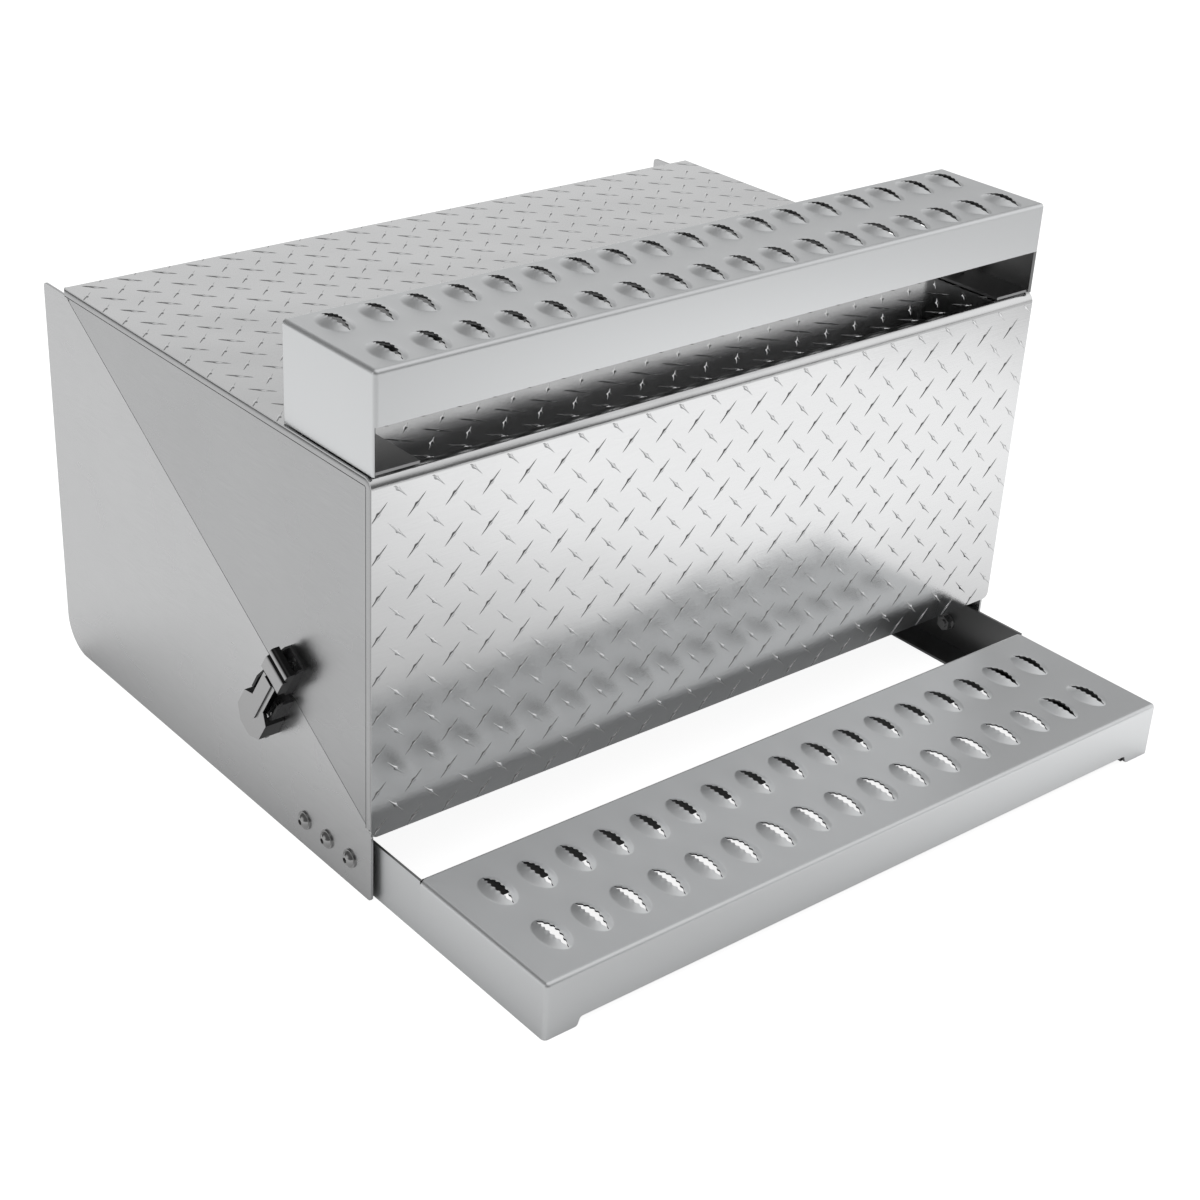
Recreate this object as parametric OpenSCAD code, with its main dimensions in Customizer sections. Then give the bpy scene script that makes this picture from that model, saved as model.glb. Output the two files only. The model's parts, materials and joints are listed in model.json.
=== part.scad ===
// Truck step toolbox: a wedge-lidded aluminium box with a traction step bolted on
// its lid and a second, lower step hung from its side panels on two arms.
// X runs across the truck step, Y runs from the front (the steps) to the back, Z is up.
// The origin is on the ground, at the middle of the whole part's footprint.
// Inside the modules Y is measured back from the lid's front face, and Z up from the ground.

/* [Box] */
// Width over the two side panels
box_w = 914; // [800:1:1100]
// Thickness of the side panels, the cheeks and the tub sheet
panel_t = 3; // [2:0.5:4]
// Depth of the side panels, front edge to rear edge
panel_depth = 657; // [630:1:700]
// Distance of the side panels' front edge behind the lid's front face
panel_setback = 5; // [3:1:10]
// Radius of the side panels' rear bottom corner
panel_corner_r = 42; // [20:1:70]
// Height of the lid's lower edge above the ground
lid_lift = 82; // [78:1:110]
// Height of the floor sheet's underside above the lid's lower edge
floor_rise = 3; // [2:1:8]
// Height of the sill lip at the front of the floor
sill_h = 34; // [25:1:45]
// Distance of the sill lip behind the lid's front sheet
sill_gap = 9; // [7:0.5:14]
// Distance of the back sheet's rear face behind the lid's rear edge
back_gap = 1; // [0:0.5:3]
// Width of the flange on the back sheet's top edge
back_flange_w = 22; // [15:1:30]
// Diameter of the four mounting holes in the back sheet
mount_hole_d = 13; // [8:0.5:17]
// Distance between the mounting holes across the box
mount_span_x = 600; // [400:10:700]
// Distance between the mounting holes up the box
mount_span_z = 240; // [150:10:260]

/* [Lid] */
// Depth of the lid's top, front face to rear edge
lid_d = 605; // [590:1:625]
// Height of the lid's front, lower edge to top face
lid_h = 397; // [380:1:420]
// Thickness of the tread sheet, without its lugs
tread_t = 3; // [2:0.5:4]
// Height of the returned edge along the lid's sides
lid_edge_h = 10; // [8:1:14]
// Outside radius of the bend between the lid's front and top
lid_bend_r = 12; // [8:1:20]
// Open seam between a lid cheek and its side panel
seam_gap = 0.8; // [0.5:0.1:2.5]
// Width of the stiffening fold along the front's lower edge
lid_hem_w = 6; // [4:0.5:6.5]

/* [Tread lugs] */
// Distance from one lug to the next of the same slant
lug_pitch = 44; // [40:1:60]
// Length of one lug
lug_l = 31; // [24:1:34]
// Width of one lug at its middle
lug_w = 5; // [3:0.5:8]
// Height of the lugs above the sheet
lug_h = 1.2; // [0.8:0.1:2]
// How deep the lugs root in the sheet
lug_root = 1; // [0.5:0.1:1.5]
// Shift of the lug pattern to the right of the sheet's middle
lug_shift = 9.5; // [-20:0.5:20]
// Height of the lowest lugs' middles above the front's lower edge
lug_start_z = 8; // [0:1:20]
// Distance of the foremost lugs' middles behind the lid's front face
lug_start_y = 16.5; // [14:0.5:38]

/* [Jambs and seals] */
// Thickness of the jamb strips behind the seams
jamb_t = 3; // [2:0.5:4]
// Width of a jamb strip's welded leg
jamb_leg = 26; // [20:1:34]
// Width of a jamb strip's sealing leg
jamb_lip = 24; // [18:1:30]
// Inward step between the two legs of a jamb strip
jamb_step = 6; // [5:0.5:8]
// Width of the rubber seals
seal_w = 12; // [9:1:15]
// Working clearance of the seals and other near-touching moving pieces
run_gap = 0.3; // [0.25:0.05:0.4]

/* [Hinge] */
// Radius of the hinge pin
hinge_pin_r = 2.5; // [2:0.1:2.8]
// Outside radius of the hinge knuckles
knuckle_r = 4.2; // [3.9:0.1:4.6]
// Radial clearance between the pin and the lid's knuckles
pin_gap = 0.08; // [0.05:0.01:0.1]
// Gap between neighbouring knuckles
knuckle_gap = 0.6; // [0.4:0.1:1]
// Number of knuckles along the hinge
knuckle_n = 17; // [9:2:25]
// Length of the hinge
hinge_l = 860; // [760:10:880]
// How far the knuckles sink into the line of their leaf
knuckle_sink = 0.4; // [0.2:0.1:0.6]
// Thickness of the hinge leaves
leaf_t = 2; // [1.5:0.1:2.2]
// Width of the hinge leaves, from the pin's axis
leaf_w = 42; // [30:1:50]

/* [Steps] */
// Thickness of both steps' sheet
step_t = 3; // [2.5:0.5:4]
// Outside bend radius of the steps' folds
step_bend_r = 5; // [4:0.5:8]
// Height of the upper step above the lid
upper_h = 106; // [95:1:120]
// Depth of the upper step
upper_d = 158; // [140:1:180]
// Height of the upper step's front apron
upper_apron_h = 56; // [40:1:60]
// Height of the upper step's rear return
upper_back_h = 25; // [15:1:40]
// Width of the upper step's foot flanges
foot_w = 55; // [45:1:60]
// Height of the lower step above the ground
lower_h = 66; // [60:1:72]
// Depth of the lower step's tread, front to back
lower_d = 207; // [190:1:230]
// Open gap between the lid's front face and the lower step's tread
lower_gap = 64; // [50:1:80]
// Gap between a side panel and the lower step's arm
arm_gap = 5.5; // [4:0.5:8]
// How far the arms run back behind the lid's front face
arm_back = 172; // [165:1:220]
// Height of the cut-out under the lower step's front apron
toe_cut_h = 10; // [6:1:16]
// Width of the lower step's full-height front feet and of its arms' lower flanges
toe_w = 42; // [30:1:60]
// Height of the lower step's rear return
lower_back_h = 20; // [15:1:30]

/* [Traction eyes] */
// Distance between neighbouring eyes across a step
eye_pitch = 49.4; // [48:0.2:56]
// Number of eyes in a row of the upper step
upper_eyes = 18; // [10:1:18]
// Number of eyes in a row of the lower step
lower_eyes = 17; // [10:1:17]
// Distance between the two rows of eyes
eye_row_gap = 86; // [80:1:95]
// Distance from a step's front face to its front row of eyes
eye_front = 34; // [32:1:50]
// Distance from the lower step's front face to its front row of eyes
lower_eye_front = 59; // [40:1:70]
// Length of an eye, tip to tip
eye_l = 54; // [46:1:57]
// Width of an eye's raised oval
eye_w = 36; // [32:1:42]
// Height of an eye's lips above the tread
eye_h = 6; // [4:0.5:8]
// Width of the open slit at an eye's middle
slit_w = 11; // [8:0.5:18]
// Depth of the teeth along the slit
tooth_d = 1.6; // [1:0.1:2.2]
// Number of teeth along each lip
teeth = 7; // [6:1:8]

/* [Bolts] */
// Thread diameter of the steps' bolts
bolt_d = 10; // [8:1:12]
// Play of a bolt in its hole, on the diameter
bolt_play = 1; // [0.5:0.1:1.5]
// Diameter of the button heads
bolt_head_d = 17.5; // [16:0.5:20]
// Height of the button heads
bolt_head_h = 5.5; // [4:0.5:7]
// Outside diameter of the washers
washer_d = 21; // [20:0.5:26]
// Thickness of the washers
washer_t = 1.8; // [1.2:0.1:2.5]
// Width of the nuts across their flats
nut_af = 17; // [16:0.5:19]
// Height of the nuts
nut_h = 8; // [7:0.5:10]
// Distance between the arm's bolts
arm_bolt_pitch = 42.5; // [36:0.5:50]
// Distance of the first arm bolt behind the lid's front face
arm_bolt_y = 43; // [36:1:60]
// Height of the arm bolts above the ground
arm_bolt_z = 33; // [28:1:40]
// Distance of the upper step's first foot bolt behind its front
foot_bolt_y = 92; // [80:1:100]
// Distance between the upper step's foot bolts
foot_bolt_pitch = 42; // [30:1:45]

/* [Latches] */
// Distance of the latch behind the lid's front face, measured at the seam
latch_y = 163; // [120:1:220]
// Distance of the latch's pivot pin below the seam
latch_pivot = 69.5; // [65:0.5:80]
// Height of the pivot pin off the panel
pivot_h = 12; // [11:0.5:13]
// Radius of the pivot pin
pivot_r = 3; // [2:0.1:4]
// Height of the latch's outer face off the panel
latch_h = 24; // [23:0.5:26]
// Width of the pull at the strap's lower end
pull_w = 48; // [44:1:54]
// Thickness of the pull's hollow walls
pull_t = 4; // [3:0.5:4]
// Bevel across the pull's lower corners
pull_bevel = 14; // [10:1:18]
// Distance of the pull's upper edge below the seam
pull_top = 30; // [26:1:34]
// Width of the strap's neck
neck_w = 23.5; // [18:0.5:26]
// Thickness of the strap's neck
neck_t = 8; // [6:0.5:9]
// Width of the rib on the strap
rib_w = 13; // [9:0.5:16]
// Height of the rib on the strap
rib_h = 2; // [1:0.5:3]
// Length of the handle bar, along the seam
bar_l = 35.5; // [34:0.5:42]
// Width of the handle bar, across the seam
bar_w = 36; // [32:1:40]
// Thickness of the handle bar
bar_t = 10.5; // [8:0.5:12]
// Distance of the handle bar's lower edge above the seam
bar_start = 15; // [10:1:20]
// Width of the latch base
base_w = 45; // [43:1:47]
// Height of the base's wings beside the neck
wing_h = 18; // [14:1:19]
// Width of the keeper under the handle bar
keeper_w = 32; // [28:1:34]
// Thickness of the base's and the keeper's sheet
latch_sheet = 2.5; // [2:0.5:3]
// Diameter of the latch rivets
rivet_d = 5; // [4:0.5:6]

/* [Hidden] */
$fn = 48;
// Overshoot of a cut past the face that it opens
over = 1;
// Play of a shank or pin in the piece that holds it tight
snug = 0.02;

panel_x = box_w / 2;
panel_in = panel_x - panel_t;
skin_x = panel_x + tread_t;
lid_top = lid_lift + lid_h;
lid_under = lid_top - tread_t;
floor_z = lid_lift + floor_rise;
back_y = lid_d + back_gap;
front_y = (lower_gap + lower_d - panel_setback - panel_depth) / 2;

// The seam runs from the lid's lower front corner to just short of the hinge.
axis_y = back_y + knuckle_r - knuckle_sink;
axis_z = lid_under - knuckle_r + knuckle_sink;
panel_top = axis_z - knuckle_r;
seam_angle = atan2(panel_top - lid_lift, axis_y);
function seam_z(y) = lid_lift + y * tan(seam_angle);
seam_up = seam_gap / cos(seam_angle);

arm_x = panel_in - arm_gap;
lower_front = -lower_gap - lower_d;

module from_front() { translate([0, front_y, 0]) children(); }
// A profile drawn in (Y, Z) becomes a bar of length w centred on X.
module across(w) { rotate([90, 0, 90]) linear_extrude(w, center = true) children(); }
// A profile drawn in (Y, Z) becomes a plate from x on, t thick.
module plate_at(x, t) { translate([x, 0, 0]) rotate([90, 0, 90]) linear_extrude(t) children(); }
module both_sides() { children(); mirror([1, 0, 0]) children(); }
module side(s) { mirror([s > 0 ? 1 : 0, 0, 0]) children(); }

// A square corner's outline, rounded with radius r on the corner at the origin.
module round_corner(r) {
    difference() {
        translate([-over, -over]) square(r + over);
        translate([r, r]) circle(r);
    }
}

// Flat (Y, Z) frames: the seam's line, the latch on it, and the places of bolts and rivets.
module seam_line() { translate([0, lid_lift]) rotate(seam_angle) children(); }
module latch_place() { translate([latch_y / cos(seam_angle), 0]) children(); }
module arm_bolt_places() {
    for (i = [0:2]) translate([arm_bolt_y + i * arm_bolt_pitch, arm_bolt_z]) children();
}
// The rivets keep clear of the jamb strip's leg below the seam and of the seal above it.
base_rivet_z = [-jamb_leg - rivet_d - 2, -latch_pivot + 15];
keeper_rivet_z = [jamb_lip + rivet_d + 2, bar_start + bar_w - 8];
module base_rivet_places() {
    for (a = [-1, 1], z = base_rivet_z) translate([a * 9, z]) children();
}
module keeper_rivet_places() {
    for (z = keeper_rivet_z) translate([0, z]) children();
}

// Side panels: flat sheets with a slanted front edge and a round rear corner.
module panel_outline() {
    rear = panel_setback + panel_depth;
    difference() {
        intersection() {
            polygon([[panel_setback, 0], [panel_setback, seam_z(panel_setback)],
                [axis_y, panel_top], [axis_y + rear, panel_top], [axis_y + rear, 0]]);
            square([rear, panel_top]);
        }
        translate([rear, 0]) rotate(90) round_corner(panel_corner_r);
        translate([panel_setback, 0]) round_corner(step_bend_r);
        translate([rear, panel_top]) rotate(180) round_corner(step_bend_r);
        arm_bolt_places() circle(d = bolt_d + bolt_play);
        seam_line() latch_place() base_rivet_places() circle(d = rivet_d);
    }
}

module side_panel(s) {
    color("#b9babb") from_front() side(s) plate_at(-panel_x, panel_t) panel_outline();
}

// Tub: floor, back and sill lip folded from one sheet, with four mounting holes.
module tub() {
    lip_y = tread_t + sill_gap;
    sheet = panel_t;
    back_top = panel_top - 1;
    color("#aeb0b2") from_front() difference() {
        across(2 * panel_in) polygon([[lip_y, floor_z], [back_y, floor_z], [back_y, back_top],
            [back_y - back_flange_w, back_top], [back_y - back_flange_w, back_top - sheet],
            [back_y - sheet, back_top - sheet], [back_y - sheet, floor_z + sheet],
            [lip_y + sheet, floor_z + sheet], [lip_y + sheet, floor_z + sill_h],
            [lip_y, floor_z + sill_h]]);
        for (x = [-1, 1], z = [-1, 1])
            translate([x * mount_span_x / 2, back_y, (floor_z + back_top + z * mount_span_z) / 2])
                rotate([90, 0, 0]) cylinder(d = mount_hole_d, h = 4 * sheet, center = true);
        rivet_row() cylinder(d = rivet_d, h = 4 * sheet, center = true);
    }
}

// Frame of a seam: X' runs up along the seam, Y' across it towards the lid, Z' inwards.
module on_seam() {
    translate([0, 0, lid_lift]) rotate([seam_angle, 0, 0]) children();
}

// The jamb strips run between the floor sheet and the back sheet's top flange.
jamb_start = (floor_rise + panel_t + jamb_leg * cos(seam_angle) + run_gap) / sin(seam_angle);
jamb_end = (back_y - back_flange_w - jamb_leg * sin(seam_angle) - run_gap) / cos(seam_angle);

// Jamb strips: Z-folded sheets welded behind the side panels' slanted edges.
module jamb(s) {
    color("#a4a6a8") from_front() side(s) on_seam() translate([-panel_in, jamb_end, 0])
        rotate([90, 0, 0]) linear_extrude(jamb_end - jamb_start)
            polygon([[0, -jamb_leg], [jamb_t, -jamb_leg], [jamb_t, -jamb_t],
                [jamb_step + jamb_t, jamb_step - jamb_t], [jamb_step + jamb_t, jamb_lip],
                [jamb_step, jamb_lip], [jamb_step, jamb_step - jamb_t / 2],
                [0, -jamb_t / 2]]);
}

// Rubber seals: a flat foot on the jamb strip and a round crest against the cheek.
module seal_profile(w, h) {
    crest = (w * w / 4 + h * h) / (2 * h);
    intersection() {
        translate([h - crest, 0]) circle(crest);
        translate([0, -w / 2]) square([h, w]);
    }
}

module jamb_seals() {
    color("#2b2b2c") from_front() both_sides() on_seam()
        translate([-panel_in + jamb_step, jamb_end, (jamb_step + jamb_lip) / 2])
            rotate([90, 0, 0]) linear_extrude(jamb_end - jamb_start)
                rotate(180) seal_profile(seal_w, jamb_step - run_gap);
}

module sill_seal() {
    color("#2b2b2c") from_front()
        translate([0, tread_t + sill_gap, floor_z + sill_h - seal_w / 2 - 2])
            across(2 * (panel_in - jamb_step - jamb_t)) rotate(180)
                seal_profile(seal_w, sill_gap - run_gap);
}

// Hinge: two leaves with alternating knuckles on one long pin.
knuckle_step = hinge_l / knuckle_n;
module hinge_line() { translate([0, axis_y, axis_z]) rotate([0, 90, 0]) children(); }
module knuckles(first, bore_r) {
    for (i = [first:2:knuckle_n - 1])
        translate([-hinge_l / 2 + (i + 0.5) * knuckle_step, axis_y, axis_z]) rotate([0, 90, 0])
            difference() {
                cylinder(r = knuckle_r, h = knuckle_step - knuckle_gap, center = true);
                cylinder(r = bore_r, h = knuckle_step, center = true);
            }
}

// Cuts that keep a leaf's edge clear of the other leaf's knuckles.
module knuckle_room(first) {
    for (i = [first:2:knuckle_n - 1])
        translate([-hinge_l / 2 + (i + 0.5) * knuckle_step, axis_y, axis_z])
            rotate([0, 90, 0]) cylinder(r = knuckle_r + 0.5,
                h = knuckle_step + knuckle_gap, center = true);
}

module hinge_leaf_body() {
    color("#9fa1a3") from_front() {
        difference() {
            translate([-hinge_l / 2 + knuckle_gap / 2, back_y, axis_z - leaf_w])
                cube([hinge_l - knuckle_gap, leaf_t, leaf_w]);
            knuckle_room(1);
            hinge_line() cylinder(r = hinge_pin_r + snug, h = hinge_l + 2 * over, center = true);
            rivet_row() cylinder(d = rivet_d, h = 4 * leaf_t, center = true);
        }
        knuckles(0, hinge_pin_r + snug);
    }
}

module hinge_leaf_lid() {
    color("#9fa1a3") from_front() {
        difference() {
            translate([-hinge_l / 2 + knuckle_gap / 2, axis_y - leaf_w, lid_under - leaf_t])
                cube([hinge_l - knuckle_gap, leaf_w, leaf_t]);
            knuckle_room(0);
            hinge_line() cylinder(r = hinge_pin_r + pin_gap, h = hinge_l + 2 * over,
                center = true);
        }
        knuckles(1, hinge_pin_r + pin_gap);
    }
}

module hinge_pin() {
    color("#8d8f91") from_front() hinge_line()
        cylinder(r = hinge_pin_r, h = hinge_l + knuckle_r, center = true);
}

// Rivets through the body leaf and the back sheet.
module rivet_row() {
    for (i = [0:7]) translate([(i - 3.5) * hinge_l / 8, back_y, axis_z - leaf_w * 0.7])
        rotate([-90, 0, 0]) children();
}

module hinge_rivets() {
    color("#a9abad") from_front() rivet_row() {
        translate([0, 0, leaf_t]) rivet_head(rivet_d);
        translate([0, 0, -panel_t]) cylinder(d = rivet_d - 2 * snug, h = panel_t + leaf_t);
    }
}

module rivet_head(d) {
    head_h = d * 0.35;
    ball = (d * d + head_h * head_h) / (2 * head_h);
    intersection() {
        translate([0, 0, head_h - ball]) sphere(ball);
        cylinder(r = d, h = head_h);
    }
}

// Lid skin: tread sheet folded over the front, with returned side edges and lugs.
module skin_profile(inset, open) {
    r = max(lid_bend_r - inset, 1);
    difference() {
        translate([inset, lid_lift - open]) square([lid_d - inset + open, lid_h - inset + open]);
        translate([inset, lid_top - inset]) rotate(-90) round_corner(r);
    }
}

// One lug: a slender lozenge, drawn around its middle.
module lug(slant) {
    rotate(slant) polygon([[-lug_l / 2, 0], [0, -lug_w / 2], [lug_l / 2, 0], [0, lug_w / 2]]);
}

// Lugs of both slants on a field w wide and h high, its lower middle at the origin. The
// first row's middles lie at y = start and slant one way, the next rows turn by turn.
module lug_field(w, h, start, first) {
    half = lug_pitch / 2;
    reach = lug_l * sin(45) / 2;
    intersection() {
        translate([-w / 2, 0]) square([w, h]);
        for (j = [0:ceil((h + reach - start) / half) - 1]) {
            odd = (j + first) % 2;
            for (x = [lug_shift + odd * half - ceil(w / lug_pitch) * lug_pitch :
                    lug_pitch : w / 2 + reach])
                if (x > -w / 2 - reach)
                    translate([x, start + j * half]) lug(odd == 0 ? -45 : 45);
        }
    }
}

module lid_skin() {
    color("#d6d8da") from_front() {
        difference() {
            across(2 * skin_x) skin_profile(0, 0);
            across(2 * panel_x) skin_profile(tread_t, over);
            // The side walls are cut back to their returned edges, clear of the panels' tips.
            across(2 * skin_x + 2 * over) skin_profile(lid_edge_h, over);
            both_sides() translate([panel_x, tread_t, lid_lift - over])
                cube([tread_t + over, lid_edge_h, floor_rise + 2 * panel_t]);
            both_sides() translate([skin_x, tread_t + over, lid_lift]) rotate([90, 0, 0])
                linear_extrude(tread_t + 2 * over) rotate(90) round_corner(lid_edge_h - 2);
            foot_bolt_places() cylinder(d = bolt_d + bolt_play, h = 4 * tread_t, center = true);
        }
        // Fold along the front's lower edge.
        across(2 * panel_in - 2 * lid_edge_h)
            translate([tread_t, lid_lift]) square([lid_hem_w, tread_t]);
        translate([0, 0, lid_lift]) rotate([90, 0, 0]) translate([0, 0, -lug_root])
            linear_extrude(lug_h + lug_root)
                lug_field(2 * skin_x, lid_h - lid_bend_r, lug_start_z, 1);
        difference() {
            translate([0, lid_bend_r, lid_top - lug_root]) linear_extrude(lug_h + lug_root)
                lug_field(2 * skin_x, lid_d - lid_bend_r, lug_start_y - lid_bend_r, 0);
            foot_bolt_places() cylinder(d = bolt_d + bolt_play, h = 4 * tread_t, center = true);
        }
    }
}

// Lid cheeks: flat triangles inside the skin's returned edges.
module cheek_outline() {
    rear = axis_y - 2 * knuckle_r - over;
    difference() {
        polygon([[tread_t, seam_z(tread_t) + seam_up], [rear, seam_z(rear) + seam_up],
            [rear, lid_under], [tread_t, lid_under]]);
        translate([tread_t, lid_under]) rotate(-90) round_corner(lid_bend_r - tread_t);
        seam_line() latch_place() keeper_rivet_places() circle(d = rivet_d);
    }
}

module cheek(s) {
    color("#aaacae") from_front() side(s) plate_at(-panel_x, panel_t) cheek_outline();
}

// Traction eye: a raised oval with a toothed slit, drawn around its middle on the tread.
// Its rings are w wide and l long: an ellipse where point is 1, with sharp tips where it is 2.
function ring(n, l, w, point, tooth = 0) = [for (i = [0:n - 1]) let (a = 360 * i / n,
    flank = pow(abs(sin(a)), point), cut = (i % 2 == 1) ? tooth * min(1, 1.3 * flank) : 0)
    [sign(sin(a)) * (flank * w / 2 - cut), -cos(a) * l / 2]];
function crown(y) = eye_h * (1 - pow(2 * y / eye_l, 2));
eye_sides = 2 * teeth;
module eye_outline() { polygon(ring(eye_sides, eye_l, eye_w, 1)); }

module eye() {
    n = eye_sides;
    m = 2 * n;
    rim = ring(n, eye_l, eye_w, 1);
    brow = ring(n, eye_l - 1, 0.7 * eye_w, 1.3);
    lip = ring(m, eye_l - 2, slit_w, 2, tooth_d);
    points = concat([for (p = rim) [p[0], p[1], 0]],
        [for (p = brow) [p[0], p[1], 0.62 * crown(p[1])]],
        [for (p = lip) [p[0], p[1], crown(p[1])]],
        [for (p = rim) [p[0], p[1], -step_t]],
        [for (p = lip) [p[0], p[1], crown(p[1]) - step_t]]);
    b = n;
    l = 2 * n;
    under = l + m;
    lip_under = under + n;
    faces = [for (i = [0:n - 1]) let (j = (i + 1) % n, a = 2 * i, c = 2 * i + 1,
        d = (2 * i + 2) % m) each [
            [i, b + i, b + j], [i, b + j, j],
            [b + i, l + a, l + c], [b + i, l + c, b + j], [b + j, l + c, l + d],
            [l + a, lip_under + a, lip_under + c], [l + a, lip_under + c, l + c],
            [l + c, lip_under + c, lip_under + d], [l + c, lip_under + d, l + d],
            [under + i, lip_under + c, lip_under + a], [under + i, under + j, lip_under + c],
            [under + j, lip_under + d, lip_under + c],
            [i, j, under + j], [i, under + j, under + i]]];
    polyhedron(points, faces);
}

// Two rows of n eyes, the front row's middle at the origin.
module eye_rows(n) {
    for (row = [0, 1], i = [0:n - 1])
        translate([(i - (n - 1) / 2) * eye_pitch, row * eye_row_gap, 0]) children();
}

// A tread block: w wide, d deep and h high. Radius r rounds its top edges and front corners.
module tread_block(w, d, h, r) {
    intersection() {
        linear_extrude(h) difference() {
            translate([-w / 2, 0]) square([w, d]);
            for (s = [-1, 1]) translate([s * w / 2, 0]) rotate(s < 0 ? 0 : 90) round_corner(r);
        }
        across(w) difference() {
            square([d, h]);
            translate([0, h]) rotate(-90) round_corner(r);
        }
        translate([0, d, 0]) rotate([90, 0, 0]) linear_extrude(d) difference() {
            translate([-w / 2, 0]) square([w, h]);
            for (s = [-1, 1]) translate([s * w / 2, h]) rotate(s < 0 ? -90 : 180) round_corner(r);
        }
    }
}

// Upper step: one sheet folded into a hollow tread on two footed ends.
upper_z = lid_top + lug_h;
module foot_bolt_places() {
    for (s = [-1, 1], i = [0, 1])
        translate([s * (panel_x - foot_w / 2 - step_t / 2), foot_bolt_y + i * foot_bolt_pitch,
            lid_top]) children();
}

module upper_step() {
    inner_x = panel_x - step_t;
    apron_z = upper_h - upper_apron_h;
    eyes_y = eye_front;
    color("#c4c6c8") from_front() {
        difference() {
            translate([0, 0, upper_z]) tread_block(2 * panel_x, upper_d, upper_h, step_bend_r);
            translate([0, step_t, upper_z + step_t])
                tread_block(2 * inner_x, upper_d - 2 * step_t, upper_h - 2 * step_t,
                    step_bend_r - step_t);
            translate([-inner_x, -over, upper_z + step_t])
                cube([2 * inner_x, step_t + 2 * over, apron_z - step_t]);
            translate([-inner_x, upper_d - step_t - over, upper_z + step_t])
                cube([2 * inner_x, step_t + 2 * over, upper_h - upper_back_h - step_t]);
            translate([foot_w - panel_x, -over, upper_z - over])
                cube([2 * (panel_x - foot_w), upper_d + 2 * over, step_t + 2 * over]);
            foot_bolt_places() cylinder(d = bolt_d + bolt_play, h = 6 * step_t, center = true);
            translate([0, eyes_y, upper_z + upper_h - 2 * step_t]) eye_rows(upper_eyes)
                linear_extrude(3 * step_t) eye_outline();
        }
        translate([0, eyes_y, upper_z + upper_h]) eye_rows(upper_eyes) eye();
    }
}

// Lower step: a tread tray whose side webs run back as two arms inside the side panels.
module toe_cut() {
    w = 2 * (arm_x - toe_w);
    r = toe_cut_h / 2;
    difference() {
        translate([-w / 2, -over]) square([w, toe_cut_h + over]);
        for (s = [-1, 1]) translate([s * w / 2, toe_cut_h]) rotate(s < 0 ? -90 : 180)
            round_corner(r);
    }
    for (s = [-1, 1]) translate([s * w / 2, 0]) rotate(s < 0 ? 90 : 0) round_corner(r);
}

module lower_step() {
    inner_x = arm_x - step_t;
    reach = arm_back - lower_front;
    color("#b4b6b8") from_front() {
        difference() {
            translate([0, lower_front, 0]) tread_block(2 * arm_x, reach, lower_h, step_bend_r);
            // The hollow under the tread, and the open bay between the arms.
            translate([0, lower_front + step_t, step_t])
                tread_block(2 * inner_x, lower_d - 2 * step_t, lower_h - 2 * step_t,
                    step_bend_r - step_t);
            translate([-inner_x, -lower_gap, step_t])
                cube([2 * inner_x, lower_gap + arm_back + over, lower_h]);
            translate([-inner_x, -lower_gap - step_t - over, step_t])
                cube([2 * inner_x, step_t + 2 * over, lower_h - lower_back_h - step_t]);
            translate([toe_w - arm_x, lower_front + step_t, -over])
                cube([2 * (arm_x - toe_w), reach, step_t + 2 * over]);
            translate([0, lower_front + step_t + over, 0]) rotate([90, 0, 0])
                linear_extrude(step_t + 2 * over) toe_cut();
            both_sides() translate([-arm_x - over, 0, 0]) rotate([90, 0, 90])
                linear_extrude(step_t + 2 * over) arm_bolt_places()
                    circle(d = bolt_d + bolt_play);
            translate([0, lower_front + lower_eye_front, lower_h - 2 * step_t])
                eye_rows(lower_eyes) linear_extrude(3 * step_t) eye_outline();
        }
        translate([0, lower_front + lower_eye_front, lower_h]) eye_rows(lower_eyes) eye();
    }
}

// Fasteners, drawn along +Z: a button head with its socket, a washer and a nut.
module button_bolt(shank_l) {
    ball = (pow(bolt_head_d / 2, 2) + bolt_head_h * bolt_head_h) / (2 * bolt_head_h);
    difference() {
        intersection() {
            translate([0, 0, bolt_head_h - ball]) sphere(ball);
            cylinder(d = bolt_head_d + over, h = bolt_head_h);
        }
        translate([0, 0, 0.4 * bolt_head_h]) cylinder(d = 0.66 * bolt_d, h = bolt_head_h, $fn = 6);
    }
    translate([0, 0, -shank_l]) cylinder(d = bolt_d, h = shank_l);
}
module washer(h) {
    difference() {
        cylinder(d = washer_d, h = h);
        translate([0, 0, -over]) cylinder(d = bolt_d + bolt_play, h = h + 2 * over);
    }
}
module nut() {
    difference() {
        intersection() {
            cylinder(d = nut_af / cos(30), h = nut_h, $fn = 6);
            translate([0, 0, nut_h / 2]) sphere(nut_af * 0.62);
        }
        translate([0, 0, -over]) cylinder(r = bolt_d / 2 + snug, h = nut_h + 2 * over);
    }
}

// The arm bolts' axes, +Z pointing outwards from a side panel's outer face.
module arm_bolts_at(x) {
    both_sides() for (i = [0:2])
        translate([-x, arm_bolt_y + i * arm_bolt_pitch, arm_bolt_z]) rotate([0, -90, 0])
            children();
}
module arm_bolts() {
    stack = washer_t + panel_t + arm_gap + step_t + washer_t + nut_h + 2;
    color("#8f9193") from_front() arm_bolts_at(panel_x + washer_t) button_bolt(stack);
}
module arm_washers() {
    color("#9a9c9e") from_front() {
        arm_bolts_at(panel_x) washer(washer_t);
        arm_bolts_at(arm_x - step_t - washer_t) washer(washer_t);
    }
}
module arm_spacers() {
    color("#9a9c9e") from_front() arm_bolts_at(arm_x) washer(arm_gap);
}
module arm_nuts() {
    color("#8f9193") from_front() arm_bolts_at(arm_x - step_t - washer_t - nut_h) nut();
}

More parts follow.
